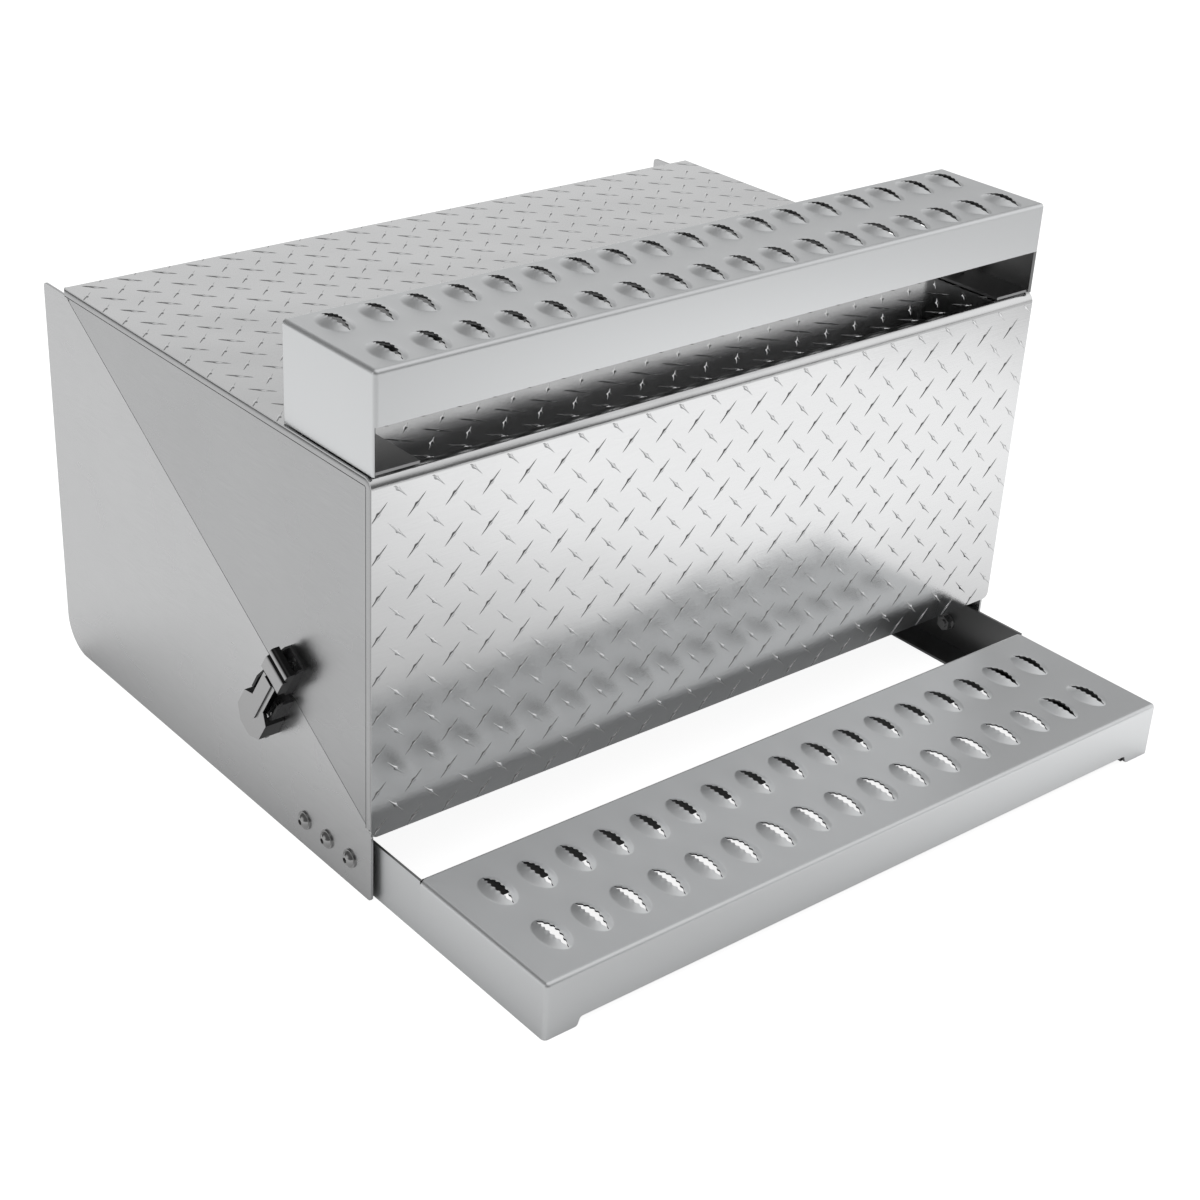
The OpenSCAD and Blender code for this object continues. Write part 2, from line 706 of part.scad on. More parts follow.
module upper_bolts() {
    stack = washer_t + step_t + lug_h + tread_t + washer_t + nut_h + 2;
    color("#8f9193") from_front() foot_bolt_places()
        translate([0, 0, lug_h + step_t + washer_t]) button_bolt(stack);
}
module upper_washers() {
    color("#9a9c9e") from_front() foot_bolt_places() {
        translate([0, 0, lug_h + step_t]) washer(washer_t);
        translate([0, 0, -tread_t - washer_t]) washer(washer_t);
    }
}
module upper_nuts() {
    color("#8f9193") from_front() foot_bolt_places()
        translate([0, 0, -tread_t - washer_t - nut_h]) nut();
}

// Latches: X' points outwards from the panel, Y' along the seam, Z' across it to the lid.
module at_latch(s) {
    side(s) on_seam() translate([-panel_x, latch_y / cos(seam_angle), 0]) mirror([1, 0, 0])
        children();
}
// A profile drawn in (X', Z') becomes a bar of length w along Y', centred.
module along_seam(w) { translate([0, w / 2, 0]) rotate([90, 0, 0]) linear_extrude(w) children(); }
// An outline drawn in (Y', Z') becomes a plate from height h0, t thick.
module off_panel(h0, t) { translate([h0, 0, 0]) rotate([90, 0, 90]) linear_extrude(t) children(); }

roof_h = latch_h - pull_t - run_gap;
room_r = roof_h - pivot_h;
ear_r = room_r - run_gap;
pull_end = latch_pivot + room_r + pull_t;
room_w = pull_w - 2 * pull_t + 1;
module latch_pivot_line() { translate([pivot_h, 0, -latch_pivot]) rotate([90, 0, 0]) children(); }

// Base: a sheet on the panel with two pivot ears inside the pull and two wings by the neck.
module latch_base(s) {
    ear_w = room_w / 2 - run_gap;
    sheet_z = -latch_pivot + 6.5;
    color("#2a2a2b") from_front() at_latch(s) difference() {
        union() {
            off_panel(0, latch_sheet) translate([-ear_w, sheet_z])
                square([2 * ear_w, -3 - sheet_z]);
            for (k = [-1, 1]) {
                translate([0, k * (ear_w - pull_t / 2), 0]) along_seam(pull_t) {
                    translate([pivot_h, -latch_pivot]) circle(ear_r);
                    polygon([[0, sheet_z], [pivot_h - 4, 3.5 - latch_pivot],
                        [pivot_h + ear_r, -latch_pivot], [pivot_h + ear_r, -pull_top - 8],
                        [0, -pull_top + 12]]);
                }
                translate([0, k * (base_w / 2 - 1.5), 0]) along_seam(3) polygon([
                    [0, -pull_top - 3], [wing_h, -pull_top - 3], [wing_h, -12],
                    [wing_h - 5, -3], [0, -3]]);
            }
        }
        latch_pivot_line() cylinder(r = pivot_r + snug, h = pull_w, center = true);
        off_panel(-over, latch_sheet + 2 * over) base_rivet_places() circle(d = rivet_d);
    }
}

module latch_pin(s) {
    color("#8f9193") from_front() at_latch(s) latch_pivot_line()
        cylinder(r = pivot_r, h = pull_w - 2, center = true);
}

// Strap, moulded in one: a hollow pull on the pin, a ribbed neck and a two-ridged handle bar.
module pull_outline() {
    x = pull_w / 2;
    polygon([[-x, -pull_top - 10], [-neck_w / 2 - 1, -pull_top], [neck_w / 2 + 1, -pull_top],
        [x, -pull_top - 10], [x, pull_bevel - pull_end], [x - pull_bevel, -pull_end],
        [pull_bevel - x, -pull_end], [-x, pull_bevel - pull_end]]);
}
module pull_side() {
    lift = pivot_h - room_r - pull_t;
    difference() {
        translate([lift, -pull_end]) square([latch_h - lift, pull_end - pull_top]);
        translate([lift, -pull_end]) round_corner(room_r + pull_t);
    }
}
module pull_room() {
    translate([pivot_h, -latch_pivot]) circle(room_r);
    translate([-over, -latch_pivot]) square([roof_h + over, latch_pivot - pull_top + over]);
    translate([-over, -pull_end - over]) square([pivot_h - 3 + over, pull_end]);
}
module bar_side() {
    r = bar_t / 2;
    low = latch_h - bar_t;
    end = bar_start + bar_w;
    translate([low, bar_start]) square([bar_t / 2, bar_w]);
    translate([latch_h + 1 - r, bar_start + r]) circle(r);
    translate([latch_h + 1 - r, end - 2.2 * r - r]) circle(r);
    translate([latch_h - r, bar_start + r]) square([r + 1, bar_w - 4.2 * r]);
    translate([latch_h - r, end - r]) circle(r);
}
module latch_strap(s) {
    color("#4c4d4f") from_front() at_latch(s) difference() {
        union() {
            difference() {
                intersection() {
                    along_seam(pull_w) pull_side();
                    off_panel(0, latch_h) pull_outline();
                }
                along_seam(room_w) pull_room();
            }
            along_seam(neck_w) translate([latch_h - neck_t, -pull_top - neck_t])
                square([neck_t, pull_top + neck_t + bar_start + over]);
            off_panel(latch_h - 1, rib_h + 1) {
                translate([0, -latch_pivot + 21]) circle(rib_w / 2);
                translate([-rib_w / 2, -latch_pivot + 21])
                    square([rib_w, latch_pivot - 21 + bar_start + over]);
            }
            along_seam(bar_l) bar_side();
        }
        latch_pivot_line() cylinder(r = pivot_r + pin_gap, h = pull_w + 2 * over, center = true);
    }
}

// Keeper: a folded channel on the cheek that the handle bar lies over.
module latch_keeper(s) {
    top = latch_h - bar_t - run_gap;
    start = 4;
    end = bar_start + bar_w - 2;
    color("#2a2a2b") from_front() at_latch(s) {
        difference() {
            off_panel(0, latch_sheet) translate([-keeper_w / 2, start])
                square([keeper_w, end - start]);
            off_panel(-over, latch_sheet + 2 * over) keeper_rivet_places() circle(d = rivet_d);
        }
        for (k = [-1, 1]) translate([0, k * (keeper_w - latch_sheet) / 2, 0])
            along_seam(latch_sheet) polygon([[0, start], [top - 4, start], [top, start + 6],
                [top, end - 8], [top - 6, end], [0, end]]);
    }
}

// Rivets through a sheet of the box and the latch's sheet, with a head on both sides.
module latch_rivet() {
    translate([-panel_t, 0, 0]) rotate([0, -90, 0]) rivet_head(rivet_d * 0.9);
    translate([-panel_t, 0, 0]) rotate([0, 90, 0])
        cylinder(d = rivet_d - 2 * snug, h = panel_t + latch_sheet);
    translate([latch_sheet, 0, 0]) rotate([0, 90, 0]) rivet_head(rivet_d * 0.9);
}
module rivets_at_latches() {
    color("#a9abad") from_front() for (s = [-1, 1]) at_latch(s) children();
}
module base_rivets() {
    rivets_at_latches() for (a = [-1, 1], z = base_rivet_z)
        translate([0, a * 9, z]) latch_rivet();
}
module keeper_rivets() {
    rivets_at_latches() for (z = keeper_rivet_z)
        translate([0, 0, z]) latch_rivet();
}

side_panel(-1);  // side_panel_left
side_panel(1);  // side_panel_right
tub();
jamb(-1);  // jamb_left
jamb(1);  // jamb_right
jamb_seals();
sill_seal();
hinge_leaf_body();
hinge_leaf_lid();
hinge_pin();
hinge_rivets();
lid_skin();
cheek(-1);  // cheek_left
cheek(1);  // cheek_right
upper_step();
upper_bolts();
upper_washers();
upper_nuts();
lower_step();
arm_bolts();
arm_washers();
arm_spacers();
arm_nuts();
latch_base(-1);  // latch_base_left
latch_base(1);  // latch_base_right
latch_pin(-1);  // latch_pin_left
latch_pin(1);  // latch_pin_right
latch_strap(-1);  // latch_strap_left
latch_strap(1);  // latch_strap_right
latch_keeper(-1);  // latch_keeper_left
latch_keeper(1);  // latch_keeper_right
base_rivets();
keeper_rivets();
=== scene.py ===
"""Truck step toolbox: the look of the part, built in Blender around its CAD frame.

The lid's tread plate and both steps are rebuilt here with rounded lugs and smooth raised
traction eyes. The other CAD nodes keep their shape, some of them with eased edges, and
every surface gets a procedural finish. All lengths are in metres, in the frame's axes:
X across the steps, Y from the steps to the back, Z up.
"""

import json
import logging
import math
from collections.abc import Callable, Iterable, Sequence
from dataclasses import dataclass, field
from enum import Enum

import bmesh
import bpy
from mathutils import Euler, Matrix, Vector

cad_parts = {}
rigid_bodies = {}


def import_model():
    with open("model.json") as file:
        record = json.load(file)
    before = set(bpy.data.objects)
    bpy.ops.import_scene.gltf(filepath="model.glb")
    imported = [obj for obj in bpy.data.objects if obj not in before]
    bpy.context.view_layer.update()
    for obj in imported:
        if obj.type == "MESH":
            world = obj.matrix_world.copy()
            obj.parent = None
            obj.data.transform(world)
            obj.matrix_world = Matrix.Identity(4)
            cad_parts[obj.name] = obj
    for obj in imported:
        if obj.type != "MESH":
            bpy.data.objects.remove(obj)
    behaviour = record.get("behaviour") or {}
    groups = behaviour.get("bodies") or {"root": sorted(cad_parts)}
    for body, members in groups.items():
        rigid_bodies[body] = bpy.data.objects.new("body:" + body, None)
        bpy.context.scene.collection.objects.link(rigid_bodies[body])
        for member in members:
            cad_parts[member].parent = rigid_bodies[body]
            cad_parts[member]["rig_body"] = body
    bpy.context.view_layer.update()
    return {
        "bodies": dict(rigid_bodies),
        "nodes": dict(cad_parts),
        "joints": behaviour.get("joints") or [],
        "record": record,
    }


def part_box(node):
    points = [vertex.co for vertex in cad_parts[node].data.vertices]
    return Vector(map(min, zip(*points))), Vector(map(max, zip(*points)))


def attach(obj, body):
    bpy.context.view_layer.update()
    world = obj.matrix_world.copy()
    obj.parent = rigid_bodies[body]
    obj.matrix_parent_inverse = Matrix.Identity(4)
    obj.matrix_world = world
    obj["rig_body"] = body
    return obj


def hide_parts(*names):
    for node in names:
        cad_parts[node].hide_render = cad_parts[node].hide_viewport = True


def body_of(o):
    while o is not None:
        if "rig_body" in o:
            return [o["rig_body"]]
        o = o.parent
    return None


log = logging.getLogger("step_toolbox")

Point = tuple[float, float, float]
Flat = tuple[float, float]
Line = tuple[float, float, float, float]
Object = bpy.types.Object
Socket = bpy.types.NodeSocket
Tree = bpy.types.NodeTree

EVEN = (1.0, 1.0, 1.0)
WHITE = (1.0, 1.0, 1.0, 1.0)
SHARP_ANGLE = 32.0
FLAT_ANGLE = 0.6
MERGE_DISTANCE = 2e-6
SNAP = 1e-9
SIDES = ("_left", "_right")


class Plane(Enum):
    """The plane that a flat outline is drawn in."""

    YZ = 0
    XY = 1

    def place(self, a: float, b: float, along: float) -> Point:
        """Put an outline's point and a distance along the third axis into space.

        Args:
            a: The first coordinate in the plane.
            b: The second coordinate in the plane.
            along: The coordinate on the axis across the plane.

        Returns:
            The point in the frame's axes.
        """
        return (along, a, b) if self is Plane.YZ else (a, b, along)


class Grain(Enum):
    """The way that a sheet's rolling marks run."""

    ACROSS = (0.35, 9.0, 9.0)
    BACK = (9.0, 0.35, 9.0)
    NONE = (3.0, 3.0, 3.0)


# ---- Shader nodes


def math_node(tree: Tree, operation: str, *values: Socket | float) -> Socket:
    """Combine values by one operation.

    Args:
        tree: The node tree to add to.
        operation: The operation, by Blender's name.
        values: Sockets or plain numbers.

    Returns:
        The result's socket.
    """
    node = tree.nodes.new("ShaderNodeMath")
    node.operation = operation
    for value, entry in zip(values, node.inputs):
        if isinstance(value, float):
            entry.default_value = value
        else:
            tree.links.new(value, entry)
    return node.outputs[0]


def brightest(tree: Tree, values: Iterable[Socket]) -> Socket:
    """Take the largest of several values.

    Args:
        tree: The node tree to add to.
        values: The values' sockets.

    Returns:
        The result's socket.
    """
    total, *others = values
    for value in others:
        total = math_node(tree, "MAXIMUM", total, value)
    return total


def range_node(tree: Tree, source: Socket, span: Flat, result: Flat,
               kind: str = "LINEAR") -> Socket:
    """Map a value from one range to another.

    Args:
        tree: The node tree to add to.
        source: The value.
        span: Where its range starts and ends.
        result: The results there.
        kind: The way from one to the other, by Blender's name.

    Returns:
        The mapped value's socket.
    """
    node = tree.nodes.new("ShaderNodeMapRange")
    node.interpolation_type = kind
    for name, value in zip(("From Min", "From Max", "To Min", "To Max"), (*span, *result)):
        node.inputs[name].default_value = value
    tree.links.new(source, node.inputs["Value"])
    return node.outputs["Result"]


def measure_node(tree: Tree, operation: str, coords: str, fixed: Sequence[float]) -> Socket:
    """Measure the shaded point's coordinates against a fixed vector.

    Args:
        tree: The node tree to add to.
        operation: The vector operation, by Blender's name.
        coords: The name of the texture coordinates.
        fixed: The fixed vector.

    Returns:
        The measure's socket.
    """
    source = tree.nodes.new("ShaderNodeTexCoord")
    node = tree.nodes.new("ShaderNodeVectorMath")
    node.operation = operation
    node.inputs[1].default_value = fixed
    tree.links.new(source.outputs[coords], node.inputs[0])
    return node.outputs["Value"]


# ---- Finishes


class NodeBoard:
    """A small helper that lays out the nodes of one material."""

    def __init__(self, name: str) -> None:
        """Start a material with a Principled BSDF.

        Args:
            name: The material's name.
        """
        self.material = bpy.data.materials.new(name)
        self.material.use_nodes = True
        self.tree = self.material.node_tree
        self.shader = self.tree.nodes["Principled BSDF"]
        self.coords = self.tree.nodes.new("ShaderNodeTexCoord").outputs["Object"]

    def noise(self, scale: float, stretch: Sequence[float], detail: float = 4.0,
              rough: float = 0.6) -> Socket:
        """Add a noise texture on the object's own coordinates.

        Args:
            scale: The noise's scale, in cells a metre before stretching.
            stretch: A factor for each axis; a small one draws the noise out along it.
            detail: The number of octaves.
            rough: How strong the fine octaves are.

        Returns:
            The noise's value socket.
        """
        mapping = self.tree.nodes.new("ShaderNodeMapping")
        mapping.inputs["Scale"].default_value = tuple(stretch)
        self.tree.links.new(self.coords, mapping.inputs["Vector"])
        node = self.tree.nodes.new("ShaderNodeTexNoise")
        node.inputs["Scale"].default_value = scale
        node.inputs["Detail"].default_value = detail
        node.inputs["Roughness"].default_value = rough
        self.tree.links.new(mapping.outputs["Vector"], node.inputs["Vector"])
        return node.outputs["Fac"]

    def spread(self, source: Socket, low: float, high: float,
               start: float = 0.3, end: float = 0.7) -> Socket:
        """Map a value from one range to another.

        Args:
            source: The value.
            low: The result at the start of the range.
            high: The result at its end.
            start: Where the range starts.
            end: Where it ends.

        Returns:
            The mapped value's socket.
        """
        return range_node(self.tree, source, (start, end), (low, high))

    def blend(self, factor: Socket, dark: Sequence[float],
              light: Sequence[float]) -> Socket:
        """Blend two colours.

        Args:
            factor: The share of the second colour.
            dark: The first colour, as red, green and blue.
            light: The second colour.

        Returns:
            The blended colour's socket.
        """
        node = self.tree.nodes.new("ShaderNodeMix")
        node.data_type = "RGBA"
        node.inputs["A"].default_value = (*dark, 1.0)
        node.inputs["B"].default_value = (*light, 1.0)
        self.tree.links.new(factor, node.inputs["Factor"])
        return next(s for s in node.outputs if s.type == "RGBA")

    def bump(self, source: Socket, depth: float,
             below: Socket | None = None) -> Socket:
        """Turn a value into a bumped normal.

        Args:
            source: The height, from 0 to 1.
            depth: The height of the bump, in metres.
            below: A normal that this bump lies on.

        Returns:
            The normal's socket.
        """
        node = self.tree.nodes.new("ShaderNodeBump")
        node.inputs["Distance"].default_value = depth
        node.inputs["Strength"].default_value = 1.0
        self.tree.links.new(source, node.inputs["Height"])
        if below is not None:
            self.tree.links.new(below, node.inputs["Normal"])
        return node.outputs["Normal"]

    def facing_out(self) -> Socket:
        """How squarely a face looks out to the box's left or right, from 0 to 1; it masks the
        painted side shade.

        Returns:
            The value's socket.
        """
        coords = self.tree.nodes.new("ShaderNodeTexCoord")
        split = self.tree.nodes.new("ShaderNodeSeparateXYZ")
        self.tree.links.new(coords.outputs["Normal"], split.inputs[0])
        return math_node(self.tree, "ABSOLUTE", split.outputs["X"])

    def feed(self, source: Socket, name: str) -> None:
        """Link a socket to one of the shader's inputs."""
        self.tree.links.new(source, self.shader.inputs[name])


@dataclass(frozen=True)
class Metal:
    """Bare sheet metal with rolling marks, faint clouding and fine scratches.

    The share of the tone that faces keep which don't look out sideways darkens a part's sides:
    painted shade, faded in over its span.
    """

    name: str
    tone: tuple[float, float, float]
    rough: float
    grain: Grain = Grain.ACROSS
    cloud: float = 0.05
    streak: float = 0.04
    wave: float = 0.0
    painted_side_shade: float = 1.0
    painted_side_shade_span: Flat = (0.7, 0.9)
    mark_cells: float = 90.0
    mark_depth: float = 0.00004
    scuff_cells: float = 260.0
    scuff_depth: float = 0.00003
    cloud_cells: float = 5.0
    wave_cells: float = 7.0

    def material(self) -> bpy.types.Material:
        """Build the material."""
        board = NodeBoard(self.name)
        marks = board.noise(self.mark_cells, self.grain.value, detail=6.0, rough=0.7)
        clouds = board.noise(self.cloud_cells, EVEN, detail=3.0)
        scuffs = board.noise(self.scuff_cells, self.grain.value, detail=2.0)
        # Faces that don't look out sideways get a darker tone: painted shade, not a colour of
        # the metal.
        if self.painted_side_shade < 1.0:
            share = board.spread(board.facing_out(), 0.0, 1.0, *self.painted_side_shade_span)
            dark, light = tuple(c * self.painted_side_shade for c in self.tone), self.tone
        else:
            share = board.spread(marks, 0.0, 1.0)
            dark = tuple(c * (1.0 - self.streak) for c in self.tone)
            light = tuple(min(1.0, c * (1.0 + self.streak)) for c in self.tone)
        board.feed(board.blend(share, dark, light), "Base Color")
        board.feed(board.spread(clouds, self.rough - self.cloud, self.rough + self.cloud),
                   "Roughness")
        normal = board.bump(scuffs, self.scuff_depth)
        normal = board.bump(marks, self.mark_depth, normal)
        if self.wave > 0.0:
            waves = board.noise(self.wave_cells, EVEN, detail=1.0)
            normal = board.bump(waves, self.wave, normal)
        board.feed(normal, "Normal")
        board.shader.inputs["Metallic"].default_value = 1.0
        return board.material


@dataclass(frozen=True)
class Moulded:
    """Moulded rubber or plastic with a fine pebbled skin."""

    name: str
    tone: tuple[float, float, float]
    rough: float
    pebble: float = 900.0
    depth: float = 0.00008
    dust: float = 0.12
    dust_cells: float = 45.0
    dust_tone: float = 0.35

    def material(self) -> bpy.types.Material:
        """Build the material."""
        board = NodeBoard(self.name)
        pebbles = board.noise(self.pebble, Grain.NONE.value, detail=3.0)
        dust = board.noise(self.dust_cells, EVEN, detail=5.0, rough=0.7)
        pale = tuple(c + self.dust * (self.dust_tone - c) for c in self.tone)
        share = board.spread(dust, 0.0, 1.0, start=0.4, end=0.75)
        board.feed(board.blend(share, self.tone, pale), "Base Color")
        board.feed(board.spread(dust, self.rough - 0.05, self.rough + 0.08), "Roughness")
        board.feed(board.bump(pebbles, self.depth), "Normal")
        board.shader.inputs["Specular IOR Level"].default_value = 0.4
        return board.material


class Finish(Enum):
    """The finishes of the part."""

    PANEL = Metal("mill_sheet", (0.55, 0.553, 0.557), 0.26, Grain.BACK)
    CHEEK = Metal("mill_sheet_lid", (0.45, 0.453, 0.457), 0.26, Grain.BACK)
    TUB = Metal("mill_sheet_tub", (0.44, 0.445, 0.45), 0.45, Grain.ACROSS)
    TREAD = Metal("bright_tread_plate", (0.7, 0.703, 0.707), 0.1, Grain.ACROSS, cloud=0.03,
                  streak=0.02, wave=0.0018)
    LUG = Metal("tread_lug", (0.7, 0.703, 0.707), 0.08, Grain.NONE, cloud=0.03)
    STEP = Metal("step_sheet", (0.68, 0.683, 0.687), 0.16, Grain.ACROSS)
    # The steps' inner faces, undersides and cut lips: the same sheet at a darker tone, as
    # painted shade.
    INSIDE = Metal("step_sheet_inside", (0.3, 0.301, 0.303), 0.34, Grain.ACROSS)
    ZINC = Metal("zinc_steel", (0.4, 0.4, 0.4), 0.16, Grain.NONE)
    RIVET = Metal("rivet_aluminium", (0.6, 0.6, 0.6), 0.35, Grain.NONE)
    # The strap's faces that don't look out sideways keep 8% of its tone: painted shade on its
    # sides.
    STRAP = Metal("latch_strap_satin_painted_side_shade", (0.42, 0.42, 0.422), 0.28, Grain.NONE, painted_side_shade=0.08)
    BASE = Moulded("latch_base_black", (0.02, 0.02, 0.021), 0.5)
    # Black rubber for the real seals; also used for the painted shade in the lid's edge gaps.
    SEAL = Moulded("seal_rubber", (0.025, 0.025, 0.026), 0.7)

    def made(self) -> bpy.types.Material:
        """The finish's material, built on first use."""
        found = bpy.data.materials.get(self.value.name)
        return found if found is not None else self.value.material()


def dress(target: Object, finish: Finish) -> None:
    """Give an object one finish on all its material slots.

    Args:
        target: The object.
        finish: Its finish.
    """
    material = finish.made()
    if not target.material_slots:
        target.data.materials.append(material)
    for slot in target.material_slots:
        slot.material = material


# ---- Meshes


def new_object(name: str, data: bpy.types.ID) -> Object:
    """Make an object of some data and put it into the scene."""
    target = bpy.data.objects.new(name, data)
    bpy.context.scene.collection.objects.link(target)
    return target


@dataclass
class Metalwork:
    """A mesh in the making: points and faces, gathered from several shapes."""

    points: list[Point] = field(default_factory=list)
    faces: list[tuple[int, ...]] = field(default_factory=list)

    def add(self, points: Iterable[Point], faces: Iterable[Sequence[int]]) -> None:
        """Add a shape.

        Args:
            points: The shape's points.
            faces: Its faces, as indices into its own points.
        """
        start = len(self.points)
        self.points.extend(points)
        self.faces.extend(tuple(start + i for i in face) for face in faces)

    def prism(self, outline: Sequence[Flat], plane: Plane, low: float, high: float) -> None:
        """Add a flat outline, extruded along the axis across its plane.

        Args:
            outline: The outline's points.
            plane: The plane they are in.
            low: Where the prism starts on the third axis.
            high: Where it ends.
        """
        n = len(outline)
        points = [plane.place(a, b, h) for h in (low, high) for a, b in outline]
        sides = [(i, (i + 1) % n, n + (i + 1) % n, n + i) for i in range(n)]
        self.add(points, [tuple(range(n))[::-1], tuple(range(n, 2 * n)), *sides])

    def strip(self, rows: Sequence[Sequence[Point]], closed: bool = False) -> None:
        """Add a surface through rows of points.

        Args:
            rows: Rows with the same number of points each.
            closed: Whether the last row joins the first.
        """
        n = len(rows[0])
        faces = []
        for r in range(len(rows) if closed else len(rows) - 1):
            s = (r + 1) % len(rows)
            faces += [(r * n + i, r * n + i + 1, s * n + i + 1, s * n + i)
                      for i in range(n - 1)]
        self.add([p for row in rows for p in row], faces)

    def piece(self, name: str, finish: Finish, body: str, ease: float = 0.0,
              sharp: float = SHARP_ANGLE) -> Object:
        """Make the object and let it ride on its body.

        Args:
            name: The piece's name.
            finish: Its finish.
            body: The CAD body that carries it.
            ease: The width of its eased edges; 0 leaves them as they are.
            sharp: The angle above which an edge stays sharp, in degrees.

        Returns:
            The new object.
        """
        mesh = bpy.data.meshes.new(name)
        mesh.from_pydata(self.points, [], self.faces)
        target = new_object(name, mesh)
        clean_mesh(mesh, sharp)
        if ease > 0.0:
            ease_edges(target, ease, sharp)
        dress(target, finish)
        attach(target, body)
        log.info("%s: %d faces on %s", name, len(mesh.polygons), body)
        return target


def clean_mesh(mesh: bpy.types.Mesh, sharp: float, flatten: bool = False) -> None:
    """Merge a mesh's doubled points, set its normals outwards and mark its sharp edges.

    Args:
        mesh: The mesh.
        sharp: The angle above which an edge is sharp, in degrees.
        flatten: Whether flat areas become single faces.
    """
    work = bmesh.new()
    work.from_mesh(mesh)
    bmesh.ops.remove_doubles(work, verts=work.verts, dist=MERGE_DISTANCE)
    bmesh.ops.dissolve_degenerate(work, edges=work.edges, dist=MERGE_DISTANCE)
    if flatten:
        bmesh.ops.dissolve_limit(work, angle_limit=math.radians(FLAT_ANGLE),
                                 verts=work.verts, edges=work.edges)
    bmesh.ops.recalc_face_normals(work, faces=work.faces)
    for face in work.faces:
        face.smooth = True
    for edge in work.edges:
        edge.smooth = edge.calc_face_angle(0.0) < math.radians(sharp)
    work.to_mesh(mesh)
    work.free()


def ease_edges(target: Object, width: float,
               sharp: float = SHARP_ANGLE) -> None:
    """Round a piece's sharp edges by a small bevel.

    Args:
        target: The piece.
        width: The bevel's width.
        sharp: The angle above which an edge is rounded, in degrees.
    """
    bevel = target.modifiers.new("eased_edges", "BEVEL")
    bevel.width = width
    bevel.segments = 2
    bevel.limit_method = "ANGLE"
    bevel.angle_limit = math.radians(sharp)
    bevel.use_clamp_overlap = True
    bevel.harden_normals = False
    smooth = target.modifiers.new("even_shading", "WEIGHTED_NORMAL")
    smooth.keep_sharp = False


def eased_copy(node: Object, name: str, finish: Finish, width: float) -> None:
    """Stand a copy with eased edges in for a CAD node.

    Args:
        node: The CAD node's object.
        name: The node's name.
        finish: The copy's finish.
        width: The width of its eased edges.
    """
    mesh = bpy.data.meshes.new(name + "_eased")
    mesh.from_pydata([tuple(v.co) for v in node.data.vertices], [],
                     [tuple(p.vertices) for p in node.data.polygons])
    target = new_object(name + "_eased", mesh)
    clean_mesh(mesh, SHARP_ANGLE, flatten=True)
    ease_edges(target, width)
    dress(target, finish)
    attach(target, body_of(node)[0])
    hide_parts(name)
    log.info("%s: eased by %.1f mm", target.name, width * 1000)


# ---- The lid's tread plate


